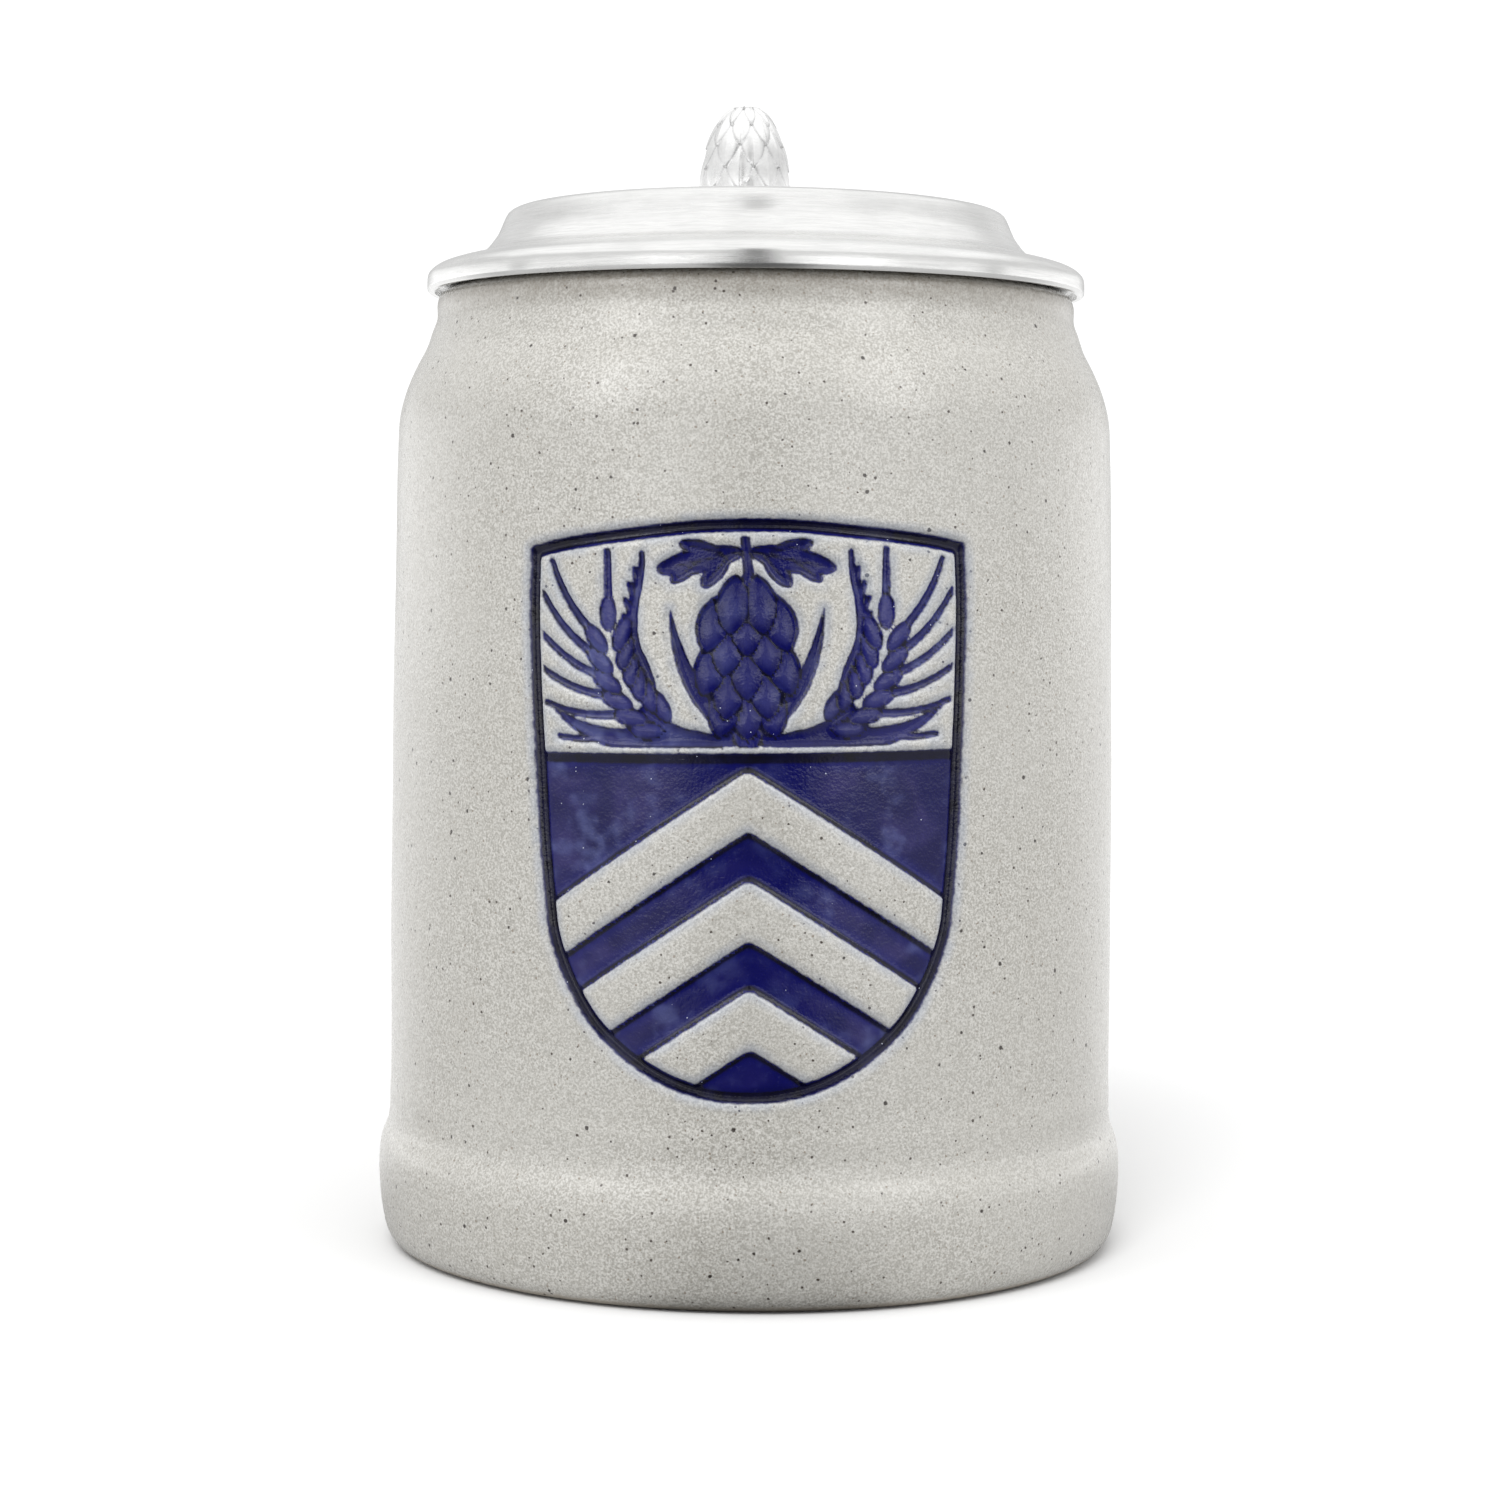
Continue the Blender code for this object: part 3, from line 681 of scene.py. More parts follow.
class Material(Graph):
    """A Principled material laid out in object space; sizes are millimetres."""

    def __init__(self, name):
        self.material = bpy.data.materials.new(name)
        self.material.use_nodes = True
        super().__init__(self.material.node_tree)
        out = self.node("OutputMaterial")
        self.bsdf = self.node("BsdfPrincipled")
        self.put(out.inputs[0], self.bsdf.outputs[0])
        self.place = self.node("TexCoord").outputs["Object"]

    def math(self, op, a, b=0.0, c=0.0):
        return super().math(op, a, b, c)

    def noise(self, size, detail=2.0, rough=0.5, distortion=0.0, vector=None):
        node = self.node("TexNoise")
        self.put(node.inputs["Vector"], self.place if vector is None else vector)
        node.inputs["Scale"].default_value = 1000.0 / size
        node.inputs["Detail"].default_value = detail
        node.inputs["Roughness"].default_value = rough
        node.inputs["Distortion"].default_value = distortion
        return node.outputs["Fac"]

    def cells(self, size, vector=None):
        """Voronoi cells: the distance to a cell's middle, and three random numbers per cell."""
        node = self.node("TexVoronoi")
        self.put(node.inputs["Vector"], self.place if vector is None else vector)
        node.inputs["Scale"].default_value = 1000.0 / size
        return node.outputs["Distance"], self.split(node.outputs["Color"])

    def warped_place(self, offset, metres):
        scaled = self.node("VectorMath")
        scaled.operation = "SCALE"
        self.put(scaled.inputs[0], offset)
        self.put(scaled.inputs["Scale"], metres)
        added = self.node("VectorMath")
        added.operation = "ADD"
        self.put(added.inputs[0], self.place)
        self.put(added.inputs[1], scaled.outputs["Vector"])
        return added.outputs["Vector"]

    def mix(self, factor, a, b):
        node = self.node("Mix")
        node.data_type = "RGBA"
        for index, value in ((0, factor), (6, a), (7, b)):
            self.put(node.inputs[index], value)
        return node.outputs[2]

    def tint(self, under, colour, mask, strength):
        """Lays colour over what is under it, as far as mask times strength says."""
        return self.mix(self.times(mask, strength), under, colour)

    def attribute(self, name):
        node = self.node("Attribute")
        node.attribute_name = name
        return node.outputs["Fac"]

    def bump(self, height, distance, normal=None):
        node = self.node("Bump")
        node.inputs["Strength"].default_value = 1.0
        node.inputs["Distance"].default_value = distance * MM
        self.put(node.inputs["Height"], height)
        if normal is not None:
            self.put(node.inputs["Normal"], normal)
        return node.outputs["Normal"]

    def join(self, x, y, z):
        node = self.node("CombineXYZ")
        for socket, value in zip(node.inputs, (x, y, z)):
            self.put(socket, value)
        return node.outputs[0]

    def set(self, **inputs):
        """Sets shader inputs; an underscore stands for a space."""
        for name, value in inputs.items():
            self.put(self.bsdf.inputs[name.replace("_", " ")], value)


CLAY = {
    "dark": (0.372, 0.360, 0.328), "light": (0.622, 0.611, 0.576),
    "mottle": (0.445, 0.427, 0.380), "cloud": (0.470, 0.453, 0.408),
    "broad": (0.535, 0.527, 0.497), "grain": (0.25, 0.232, 0.195),
    # lip: painted shade under the lid's rim, with the lip's browner firing
    "lip": (0.17, 0.140, 0.105), "bare": (0.37, 0.325, 0.265),
    # edge: a painted highlight along the raised rims beside the cobalt
    "haze": (0.28, 0.33, 0.44), "edge": (0.62, 0.64, 0.67),
}
SPECKS = [  # cell size, share of cells left empty, radius in cells, colour, strength
    (1.0, 0.76, 0.178, (0.050, 0.036, 0.028), 0.96),
    (2.5, 0.56, 0.104, (0.030, 0.022, 0.018), 0.97),
    (0.75, 0.76, 0.200, (0.20, 0.155, 0.11), 0.70),
]
COBALT = {
    "violet_dark": (0.0060, 0.0050, 0.056), "violet_light": (0.0270, 0.0225, 0.108),
    "gathered_dark": (0.0025, 0.0038, 0.105), "gathered_light": (0.0140, 0.0155, 0.172),
    # deep: painted dark reflection down the shield's middle
    "streak": (0.0022, 0.0022, 0.062), "deep": (0.0004, 0.0009, 0.078),
    # milk: painted highlight patches on the cobalt
    "run": (0.0010, 0.0014, 0.066), "painted_sheen": (0.105, 0.125, 0.31),
    # dome: a painted highlight on the tops of the swelling figures
    "fleck": (0.07, 0.075, 0.22), "dome": (0.085, 0.09, 0.28),
    # salt: painted glints on pinholes in the cobalt
    "line": (0.0024, 0.0020, 0.0085), "salt": (0.62, 0.66, 0.78),
}
GLAZE_EDGE = 0.13  # half width of the soft edge between clay and cobalt


def clay_colour(n):
    """Speckled clay; also returns the mask of the unglazed base."""
    fine = n.noise(0.29, detail=1.0)
    grain = n.noise(0.17, detail=1.0)
    mottle = n.noise(1.3, rough=0.6)
    cloud = n.noise(9.0, detail=3.0, rough=0.55)
    broad = n.noise(30.0)
    clay = n.mix(n.ramp(fine, 0.33, 0.67), CLAY["dark"], CLAY["light"])
    clay = n.tint(clay, CLAY["mottle"], n.ramp(mottle, 0.40, 0.66), strength=0.12)
    clay = n.tint(clay, CLAY["cloud"], n.ramp(cloud, 0.38, 0.66), strength=0.16)
    clay = n.tint(clay, CLAY["broad"], n.ramp(broad, 0.40, 0.62), strength=0.25)
    clay = n.tint(clay, CLAY["grain"], n.ramp(grain, 0.52, 0.70), strength=0.40)
    # The wall darkens to brown just under the lid: painted shade under the lid's rim, together with
    # the browner firing of the lip where the glaze is thin. Heights here are metres.
    lip = n.ramp(n.split(n.place)[2], 0.1195, 0.1240)
    clay = n.tint(clay, CLAY["lip"], lip, n.ramp(mottle, 0.25, 0.75, 0.35, 0.60))
    # The foot is wiped bare before firing, so that it doesn't stick to the kiln shelf.
    ragged = n.times(n.minus(mottle, 0.5), 0.0008)
    bare = n.ramp(n.plus(n.split(n.place)[2], ragged), 0.0005, 0.0013, 1.0, 0.0)
    clay = n.tint(clay, CLAY["bare"], bare, strength=0.75)
    # Iron specks: some cells of each lattice carry a dot.
    for size, empty, radius, colour, strength in SPECKS:
        warp = n.warped_place(n.join(fine, grain, cloud), metres=0.00025)
        distance, pick = n.cells(size, warp)
        chosen = n.math("GREATER_THAN", pick[0], empty)
        dot_radius = n.math("MULTIPLY_ADD", pick[1], radius * 0.7, radius * 0.65)
        dot = n.math("LESS_THAN", distance, dot_radius)
        soft = n.ramp(n.math("DIVIDE", distance, dot_radius), 0.62, 1.0, 1.0, 0.0)
        clay = n.tint(clay, colour, n.times(chosen, n.times(dot, soft)), strength)
    return clay, bare


def beside_cobalt(n, clay, glaze):
    """Cobalt bleeds a little into the salt glaze beside the lines, behind a pale edge that is a
    painted highlight along the raised rims.
    """
    patches = n.ramp(n.noise(3.0), 0.30, 0.62, 0.25, 0.85)
    haze = n.times(n.ramp(glaze, -1.5, 0.0), patches)
    ware = n.tint(clay, CLAY["haze"], haze, strength=0.55)
    # Painted highlight: a pale line where the raised rims beside the cobalt catch the light.
    edge = n.ramp(n.math("ABSOLUTE", n.plus(glaze, 0.20)), 0.0, 0.20, 1.0, 0.0)
    return n.tint(ware, CLAY["edge"], edge, strength=0.12)


def cobalt_colour(n, glaze, wobble, flow):
    line, dark_reflection_band, dome = (n.attribute(name) for name in ("line", "dark_reflection_band", "dome"))
    broad_flow = n.noise(7.5, detail=1.5, rough=0.45, distortion=0.4)
    fine_flow = n.noise(0.8, detail=3.0, rough=0.6)
    # Thin in the middle of a field it fires violet, gathered along the edges a clear blue.
    violet = n.mix(n.ramp(broad_flow, 0.38, 0.62), COBALT["violet_dark"], COBALT["violet_light"])
    gathered = n.mix(n.ramp(flow, 0.36, 0.62), COBALT["gathered_dark"], COBALT["gathered_light"])
    blue = n.mix(n.ramp(glaze, 0.5, 2.3, 0.85, 0.10), violet, gathered)
    blue = n.tint(blue, COBALT["streak"], n.ramp(flow, 0.40, 0.62), strength=0.45)
    # Painted dark reflection: deep navy down the shield's middle, where the glaze mirrors the dark
    # gap by the camera.
    deep = n.times(n.ramp(dark_reflection_band, 0.02, 0.5), n.ramp(broad_flow, 0.25, 0.60, 1.0, 0.72))
    blue = n.mix(deep, blue, COBALT["deep"])
    # Here and there the glaze ran thicker and stands as a dark glassy pool.
    run_noise = n.noise(8.5, detail=1.0, rough=0.4, distortion=0.5)
    run = n.times(n.ramp(run_noise, 0.54, 0.64), 0.70)
    blue = n.mix(run, blue, COBALT["run"])
    # Painted highlights: pale soft patches at random that stand for the sheen on the cobalt; they
    # keep out of the deep and run glaze.
    painted_sheen_grain = n.plus(n.noise(1.7, detail=1.0, rough=0.4), 0.5)
    painted_sheen = n.times(n.noise(5.5, detail=1.0, rough=0.4), painted_sheen_grain)
    painted_sheen_share = n.minus(0.46, n.times(n.math("MAXIMUM", deep, run), 0.40))
    blue = n.tint(blue, COBALT["painted_sheen"], n.ramp(painted_sheen, 0.50, 0.84), painted_sheen_share)
    blue = n.tint(blue, COBALT["fleck"], n.ramp(fine_flow, 0.60, 0.76), strength=0.14)
    # Painted highlight: a paler blue on the tops of the swelling figures.
    blue = n.tint(blue, COBALT["dome"], n.ramp(dome, 0.60, 1.0), strength=0.22)
    ragged_line = n.ramp(n.plus(line, n.times(wobble, 0.6)), -0.12, 0.24)
    blue = n.tint(blue, COBALT["line"], ragged_line, n.ramp(flow, 0.28, 0.60, 1.0, 0.84))
    # Painted glints: tiny pale dots that stand for highlights on pinholes in the cobalt.
    distance, pick = n.cells(0.9)
    chosen = n.math("GREATER_THAN", pick[0], 0.90)
    salt = n.times(chosen, n.math("LESS_THAN", distance, 0.085))
    return n.tint(blue, COBALT["salt"], salt, strength=0.75)


def stoneware():
    n = Material("salt_glazed_stoneware")
    clay, bare = clay_colour(n)
    wobble = n.times(n.minus(n.noise(0.9), 0.5), 0.30)
    glaze = n.plus(n.attribute("glaze"), wobble)
    flow = n.noise(2.6, distortion=0.6)
    ware = beside_cobalt(n, clay, glaze)
    blue = cobalt_colour(n, glaze, wobble, flow)

    def by_glaze(on_clay=0.0, on_cobalt=1.0):
        return n.ramp(glaze, -GLAZE_EDGE, GLAZE_EDGE, on_clay, on_cobalt)

    inside = by_glaze()
    rough_clay = n.ramp(n.noise(1.6, detail=3.0, rough=0.6), 0.3, 0.7, 0.20, 0.32)
    rough_blue = n.ramp(flow, 0.3, 0.7, 0.10, 0.22)
    rough = n.mix_value(inside, rough_clay, rough_blue)
    glazed = n.minus(1.0, bare)
    n.set(
        Base_Color=n.mix(inside, ware, blue),
        Roughness=n.plus(rough, n.times(bare, 0.40)),
        IOR=1.55,
        Specular_IOR_Level=n.times(by_glaze(0.62, 0.30), n.ramp(bare, 0.0, 1.0, 1.0, 0.35)),
        Coat_Weight=n.times(by_glaze(0.30, 0.12), glazed),
        Coat_Roughness=0.16,
    )
    # Orange peel and pits, fainter on the cobalt.
    peel = n.noise(1.15)
    pits = n.noise(0.36, detail=1.0)
    skin = n.times(n.plus(n.times(peel, 1.25), pits), by_glaze(1.0, 0.62))
    n.set(
        Normal=n.bump(skin, distance=0.052),
        Coat_Normal=n.bump(n.noise(1.1), distance=0.045),
    )
    return n.material


def polish_space(n, turned, brush_axis):
    """Coordinates in which a round noise is drawn out along the lathe's or the brush's lines."""
    if not turned and brush_axis is None:
        return n.place
    x, y, z = n.split(n.place)
    if turned:
        radius = n.math("SQRT", n.plus(n.times(x, x), n.times(y, y)))
        return n.join(radius, z, n.times(n.math("ARCTAN2", y, x), 0.0022))
    if brush_axis == "X":
        return n.join(n.times(x, 0.04), y, z)
    return n.join(x, y, n.times(z, 0.05))


def pewter(name, base, rough=(0.20, 0.32), turned=False, brush_axis=None, cast=0.0, patina=0.0,
           crevice=0.0):
    """Polished metal, smooth to rough within the range rough.

    turned: fine lathe lines round the mug's axis. brush_axis: X or Z, the way it was brushed.
    cast: depth of the casting's lumpy skin. patina: strength of oxide in the mesh's hollows.
    crevice: strength of the painted shade and grime in corners.
    """
    n = Material(name)

    def darker(share):
        return tuple(c * share for c in base)

    cloud = n.noise(7.0, detail=3.0, rough=0.55)
    along = polish_space(n, turned, brush_axis)
    lines_size, lines_rough, wide_size = (0.30, 0.75, 1.9) if turned else (0.35, 0.7, 2.6)
    lines = n.noise(lines_size, detail=4.0, rough=lines_rough, vector=along)
    wide = n.noise(wide_size, detail=3.0, rough=0.6, vector=along)
    colour = n.tint(base, darker(0.80), n.ramp(lines, 0.35, 0.70), strength=0.50)
    colour = n.tint(colour, darker(0.72), n.ramp(cloud, 0.42, 0.70), strength=0.22)
    # Painted reflection: soft darker patches drawn out along the polish, standing for darker things
    # mirrored in the metal.
    streaks = n.ramp(n.noise(4.2, detail=3.0, rough=0.6, vector=along), 0.44, 0.72)
    mirrored_dark_patch = n.times(streaks, n.ramp(n.noise(16.0), 0.35, 0.65, 0.25, 1.0))
    colour = n.tint(colour, darker(0.58), mirrored_dark_patch, strength=0.36)
    if patina:
        # Dark oxide stays in the hollows that polishing doesn't reach.
        hollow = n.times(n.attribute("hollow"), n.ramp(cloud, 0.3, 0.7, 0.75, 1.0))
        colour = n.tint(colour, (0.20, 0.20, 0.21), hollow, patina)
    if crevice:
        # Painted shade and grime: darker where two pieces meet and in inner corners, found by
        # ambient occlusion.
        near = n.node("AmbientOcclusion")
        near.samples = 8
        near.inputs["Distance"].default_value = 2.4 * MM
        corners = n.ramp(near.outputs["AO"], 0.45, 0.93, 1.0, 0.0)
        shade_and_grime = n.times(corners, n.ramp(cloud, 0.3, 0.7, 0.7, 1.0))
        colour = n.tint(colour, (0.15, 0.148, 0.150), shade_and_grime, crevice)
    broad_rough = n.ramp(wide, 0.30, 0.70, rough[0], rough[1])
    fine_rough = n.times(n.minus(lines, 0.5), 0.10)
    n.set(Base_Color=colour, Metallic=1.0, Roughness=n.plus(broad_rough, fine_rough))

    normal = n.bump(lines, distance=0.010 if turned else 0.007)
    if cast:
        normal = n.bump(n.noise(1.3, detail=3.0, rough=0.55), cast, normal)
    if turned:
        normal = n.bump(wide, 0.006, normal)
        tangent = n.node("Tangent")
        tangent.direction_type = "RADIAL"
        tangent.axis = "Z"
        n.set(Anisotropic=0.65, Anisotropic_Rotation=0.25, Tangent=tangent.outputs[0])
    n.set(Normal=normal)
    return n.material


# ----------------------------------------------------------------- metal parts
def build_lid():
    outside = smooth_chain(LID_OUTSIDE, 0.5)
    inside = smooth_chain(LID_INSIDE, 0.9, sharp=(1, 2))
    ob = revolve("lid_turned", np.vstack([outside, inside]), steps=208, angle=50)
    fix_normals(ob)
    return ob


def thumb_scales(along, theta, span):
    """Overlapping rows of hanging scales: their lift and, from 0 to 1, their seams.

    along is the distance up the cone from where the scales start, span the length they cover.
    """
    lift = np.zeros_like(along)
    seam = np.zeros_like(along)
    rows, per_row = 6, 9
    pitch = span / (rows + 0.35)
    for k in range(rows + 2):
        top = (k + 1.75) * pitch  # a scale springs from here and hangs down
        v = (top - along) / (2.05 * pitch)  # 0 to 1 down a scale
        cell = (theta / (2 * math.pi) * per_row + (0.5 if k % 2 else 0.0)) % 1.0
        u = (cell - 0.5) * 2  # -1 to 1 across a scale
        taper = np.where(v < 0.42, 1.0, 1 - np.clip((v - 0.42) / 0.58, 0, 1) ** 1.7)
        half = 0.96 * taper
        covered = (v >= 0) & (v <= 1) & (np.abs(u) < half)
        body = 0.14 + 0.62 * np.clip(v, 0, 1) ** 0.9
        bulge = 0.30 * (1 - (u / np.maximum(half, 1e-3)) ** 2)
        rib = 0.10 * np.exp(-(u / 0.10) ** 2) * step(v, 0.1, 0.5)
        height = np.where(covered, body + bulge * np.clip(half, 0, 1) + rib, -1.0)
        side = np.clip((half - np.abs(u)) / 0.20, 0, 1)
        tip = np.clip((1 - v) / 0.14, 0, 1)
        seam = np.where(covered & (height >= lift), 1 - np.minimum(side, tip),
                        np.where(height >= lift, 0.0, seam))
        lift = np.maximum(lift, height)
    return lift, seam


def build_thumb():
    chain = smooth_chain(THUMB_PROFILE, 0.14, sharp=(1,))
    chain = chain[chain[:, 0] > 1e-6]
    steps = 220
    theta = turns(steps)
    shape = (len(chain), steps)
    length = travelled(chain)
    start = np.interp(138.6, chain[:, 1], length)  # the scales start at this height
    span = length[-1] - start
    tangent = np.gradient(chain, axis=0)
    tangent /= np.linalg.norm(tangent, axis=1)[:, None]
    along = (length - start)[:, None] * np.ones((1, steps))
    lift, seam = thumb_scales(along, theta[None, :] * np.ones(shape), span)
    reach = step(along, -0.2, 1.2) * (1 - 0.75 * step(along, span - 1.6, span))
    lift = np.clip(lift, 0, 2) * reach * 0.85 - 0.28 * reach
    hollow = np.maximum(step(-lift, -0.14, 0.12), 0.85 * seam) * step(along, -0.4, 0.8)
    # Lifted along the profile's normal.
    r = np.maximum(chain[:, 0:1] + tangent[:, 1:2] * lift, 0.02)
    z = chain[:, 1:2] - tangent[:, 0:1] * lift
    verts = np.stack([r * np.cos(theta), THUMB_Y + r * np.sin(theta), z], -1)
    poles = [(0, THUMB_Y, THUMB_PROFILE[0][1]), (0, THUMB_Y, float(z[-1].max()) + 0.05)]
    verts = np.vstack([verts.reshape(-1, 3), poles])
    ob = mesh_object("thumb_cone", verts, capped_grid_faces(*shape))
    store(ob.data, "hollow", np.concatenate([hollow.ravel(), [0.0, 0.0]]))
    fix_normals(ob)
    shade(ob, angle=58)
    return ob


def build_strap():
    """A band bent round the handle: a flat face with a raised bead along each edge."""
    half_w = HANDLE_HALF_WIDE + SEAT_GAP
    half_t = HANDLE_HALF_THICK + SEAT_GAP
    y0, y1, top = STRAP_Y0, STRAP_Y1, STRAP_THICK
    bead, corner, slope, sink = 0.45, 0.42, 0.30, 0.26
    section = []  # (y, height off the handle), once round
    for k in range(7):
        q = math.pi / 2 * k / 6
        section.append((y0 + bead - bead * math.cos(q), top - corner + corner * math.sin(q)))
    for k in range(1, 6):
        section.append((y0 + bead + bead * k / 5, top))
    for k in range(1, 9):
        q = math.pi * k / 8
        y = y0 + 2 * bead + slope * (1 - math.cos(q))
        section.append((y, top - sink * math.sin(q * 0.5) ** 2))
    section += [(y0 + y1 - y, h) for y, h in reversed(section)]
    section += [(y1, 0.35), (y1 - 0.3, 0.05), (y0 + 0.3, 0.05), (y0, 0.35)]
    steps = 128
    verts = []
    for a in turns(steps):
        edge_x, edge_z = half_w * math.cos(a), half_t * math.sin(a)
        normal_x, normal_z = math.cos(a) / half_w, math.sin(a) / half_t
        size = math.hypot(normal_x, normal_z)
        for y, h in section:
            verts.append((edge_x + normal_x / size * h, y, STRAP_Z + edge_z + normal_z / size * h))
    count = len(section)
    faces = grid_faces(steps, count)
    last = (steps - 1) * count
    for c in range(count):
        d = (c + 1) % count
        faces.append((last + c, last + d, d, c))
    ob = mesh_object("strap_band", verts, faces, angle=42)
    fix_normals(ob)
    return ob


YZ_TO_WORLD = Matrix(((0, 0, 1, 0), (1, 0, 0, 0), (0, 1, 0, 0), (0, 0, 0, 1)))


def plate(name, outline, half_width):
    """A plate with a (y, z) outline, from -half_width to half_width in x."""
    curve = bpy.data.curves.new(name, "CURVE")
    curve.dimensions = "2D"
    curve.fill_mode = "BOTH"
    curve.extrude = half_width * MM
    spline = curve.splines.new("POLY")
    spline.points.add(len(outline) - 1)
    for point, (y, z) in zip(spline.points, outline):
        point.co = (y * MM, z * MM, 0.0, 1.0)
    spline.use_cyclic_u = True
    ob = link(name, curve)
    bpy.context.view_layer.update()
    mesh = evaluated_mesh(ob)
    bpy.data.objects.remove(ob, do_unlink=True)
    mesh.transform(YZ_TO_WORLD)
    bm = bmesh.new()
    bm.from_mesh(mesh)
    bmesh.ops.remove_doubles(bm, verts=bm.verts, dist=0.00001)
    bmesh.ops.recalc_face_normals(bm, faces=bm.faces)
    bmesh.ops.dissolve_limit(bm, angle_limit=math.radians(0.5), verts=bm.verts, edges=bm.edges)
    bm.to_mesh(mesh)
    bm.free()
    return link(name, mesh)


def cylinder(name, radius, depth, segments, place):
    """A cylinder along Z, in metres, moved by the matrix place."""
    bm = bmesh.new()
    bmesh.ops.create_cone(bm, cap_ends=True, cap_tris=False, segments=segments,
                          radius1=radius, radius2=radius, depth=depth)
    bmesh.ops.transform(bm, matrix=place, verts=bm.verts)
    mesh = bpy.data.meshes.new(name)
    bm.to_mesh(mesh)
    bm.free()
    return link(name, mesh)


def hinge_rod(name, radius, x0, x1, segments=96):
    """A cylinder on the hinge's axis."""
    centre = Matrix.Translation(((x0 + x1) * MM / 2, HINGE_Y * MM, HINGE_Z * MM))
    place = centre @ Matrix.Rotation(math.pi / 2, 4, "Y")
    return cylinder(name, radius * MM, (x1 - x0) * MM, segments, place)


def cut(ob, tool):
    mod = ob.modifiers.new("cut", "BOOLEAN")
    mod.operation = "DIFFERENCE"
    mod.solver = "EXACT"
    mod.object = tool
    apply_modifiers(ob)
    bpy.data.objects.remove(tool, do_unlink=True)


def cut_bore(ob):
    cut(ob, hinge_rod("bore", BORE_RADIUS, -BORE_REACH, BORE_REACH, segments=48))


def soften(ob, width):
    mod = ob.modifiers.new("soften", "BEVEL")
    mod.width = width * MM
    mod.segments = 3
    mod.limit_method = "ANGLE"
    mod.angle_limit = math.radians(38)
    apply_modifiers(ob)
    shade(ob, angle=40)


def hinge_arc(start, end):
    """Points on the knuckle's edge between two angles in degrees, about 5 degrees apart."""
    count = round(abs(end - start) / 5)
    angles = [math.radians(start + (end - start) * k / count) for k in range(count + 1)]
    return [
        (HINGE_Y + KNUCKLE_RADIUS * math.cos(t), HINGE_Z + KNUCKLE_RADIUS * math.sin(t))
        for t in angles
    ]


def build_block():
    """The hinge's foot: outer and middle knuckles on a base that sits over the strap."""
    arc = hinge_arc(-45, 225)
    front = rounded([arc[-1], (48.0, 123.2), (49.6, 120.9), (52.0, 119.4)])
    rear = rounded([
        (60.6, 120.9), (58.6, 121.4), (56.2, 121.8), (54.6, 122.6), (53.0, 123.8), arc[0],
    ])
    outline = arc + front[1:] + [(53.4, 117.4), (60.6, 117.4)] + rear[:-1]
    ob = plate("hinge_foot", outline, HINGE_HALF_WIDTH)
    for x0, x1 in ((-SLOT_OUT, -SLOT_IN), (SLOT_IN, SLOT_OUT)):
        cut(ob, hinge_rod("slot", SLOT_RADIUS, x0, x1))
    clearance = STRAP_THICK + 2 * SEAT_GAP - SADDLE_BITE
    half_w = (HANDLE_HALF_WIDE + clearance) * MM
    half_t = (HANDLE_HALF_THICK + clearance) * MM
    strap_middle = (STRAP_Y0 + STRAP_Y1) / 2
    place = (
        Matrix.Translation((0, strap_middle * MM, STRAP_Z * MM))
        @ Matrix.Rotation(math.pi / 2, 4, "X")
        @ Matrix.Diagonal((half_w, half_t, 1.0, 1.0))
    )
    cut(ob, cylinder("saddle", radius=1.0, depth=0.03, segments=128, place=place))
    cut_bore(ob)
    soften(ob, width=0.28)
    return ob


def build_shank():
    """The tongue from the lid's rim back to the hinge, forked round the middle knuckle."""
    arc = hinge_arc(222, 405)
    under = rounded([
        (37.7, 129.6), (40.3, 128.95), (41.9, 128.45), (42.95, 127.75), (43.45, 126.8),
        (44.6, 125.8), arc[0],
    ])
    top = rounded([(45.4, 133.0), (43.2, 131.9), (40.6, 131.3), (38.4, 131.6), (36.9, 131.9)])
    outline = [(36.35, 130.05)] + under + arc[1:] + [(52.2, 131.4), (52.4, 133.0)] + top
    ob = plate("lid_tongue", outline + [(36.3, 131.2)], SHANK_HALF_WIDTH)
    middle = SLOT_IN + SIDE_PLAY
    cut(ob, hinge_rod("slot", SLOT_RADIUS, -middle, middle))
    cut_bore(ob)
    soften(ob, width=0.30)
    return ob


def build_plug(side, label):
    """A domed plug on the end of the hinge; side is -1 or 1 in x."""
    chain = smooth_chain(PLUG_PROFILE, 0.16, sharp=(4, 5, 6))
    ob = revolve(f"hinge_plug_{label}", chain, steps=64, angle=45)
    centre = Matrix.Translation((0, HINGE_Y * MM, HINGE_Z * MM))
    ob.data.transform(centre @ Matrix.Rotation(side * math.pi / 2, 4, "Y"))
    fix_normals(ob)
    return ob


# ------------------------------------------------------------------- assemble
def dress(ob, material, body, node):
    ob.data.materials.clear()
    ob.data.materials.append(material)
    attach(ob, body)
    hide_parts(node)


FITTING = (0.74, 0.74, 0.73)
BRUSHED = {"base": FITTING, "rough": (0.24, 0.38)}
HINGE_METAL = {**BRUSHED, "brush_axis": "X", "cast": 0.026, "crevice": 0.75}

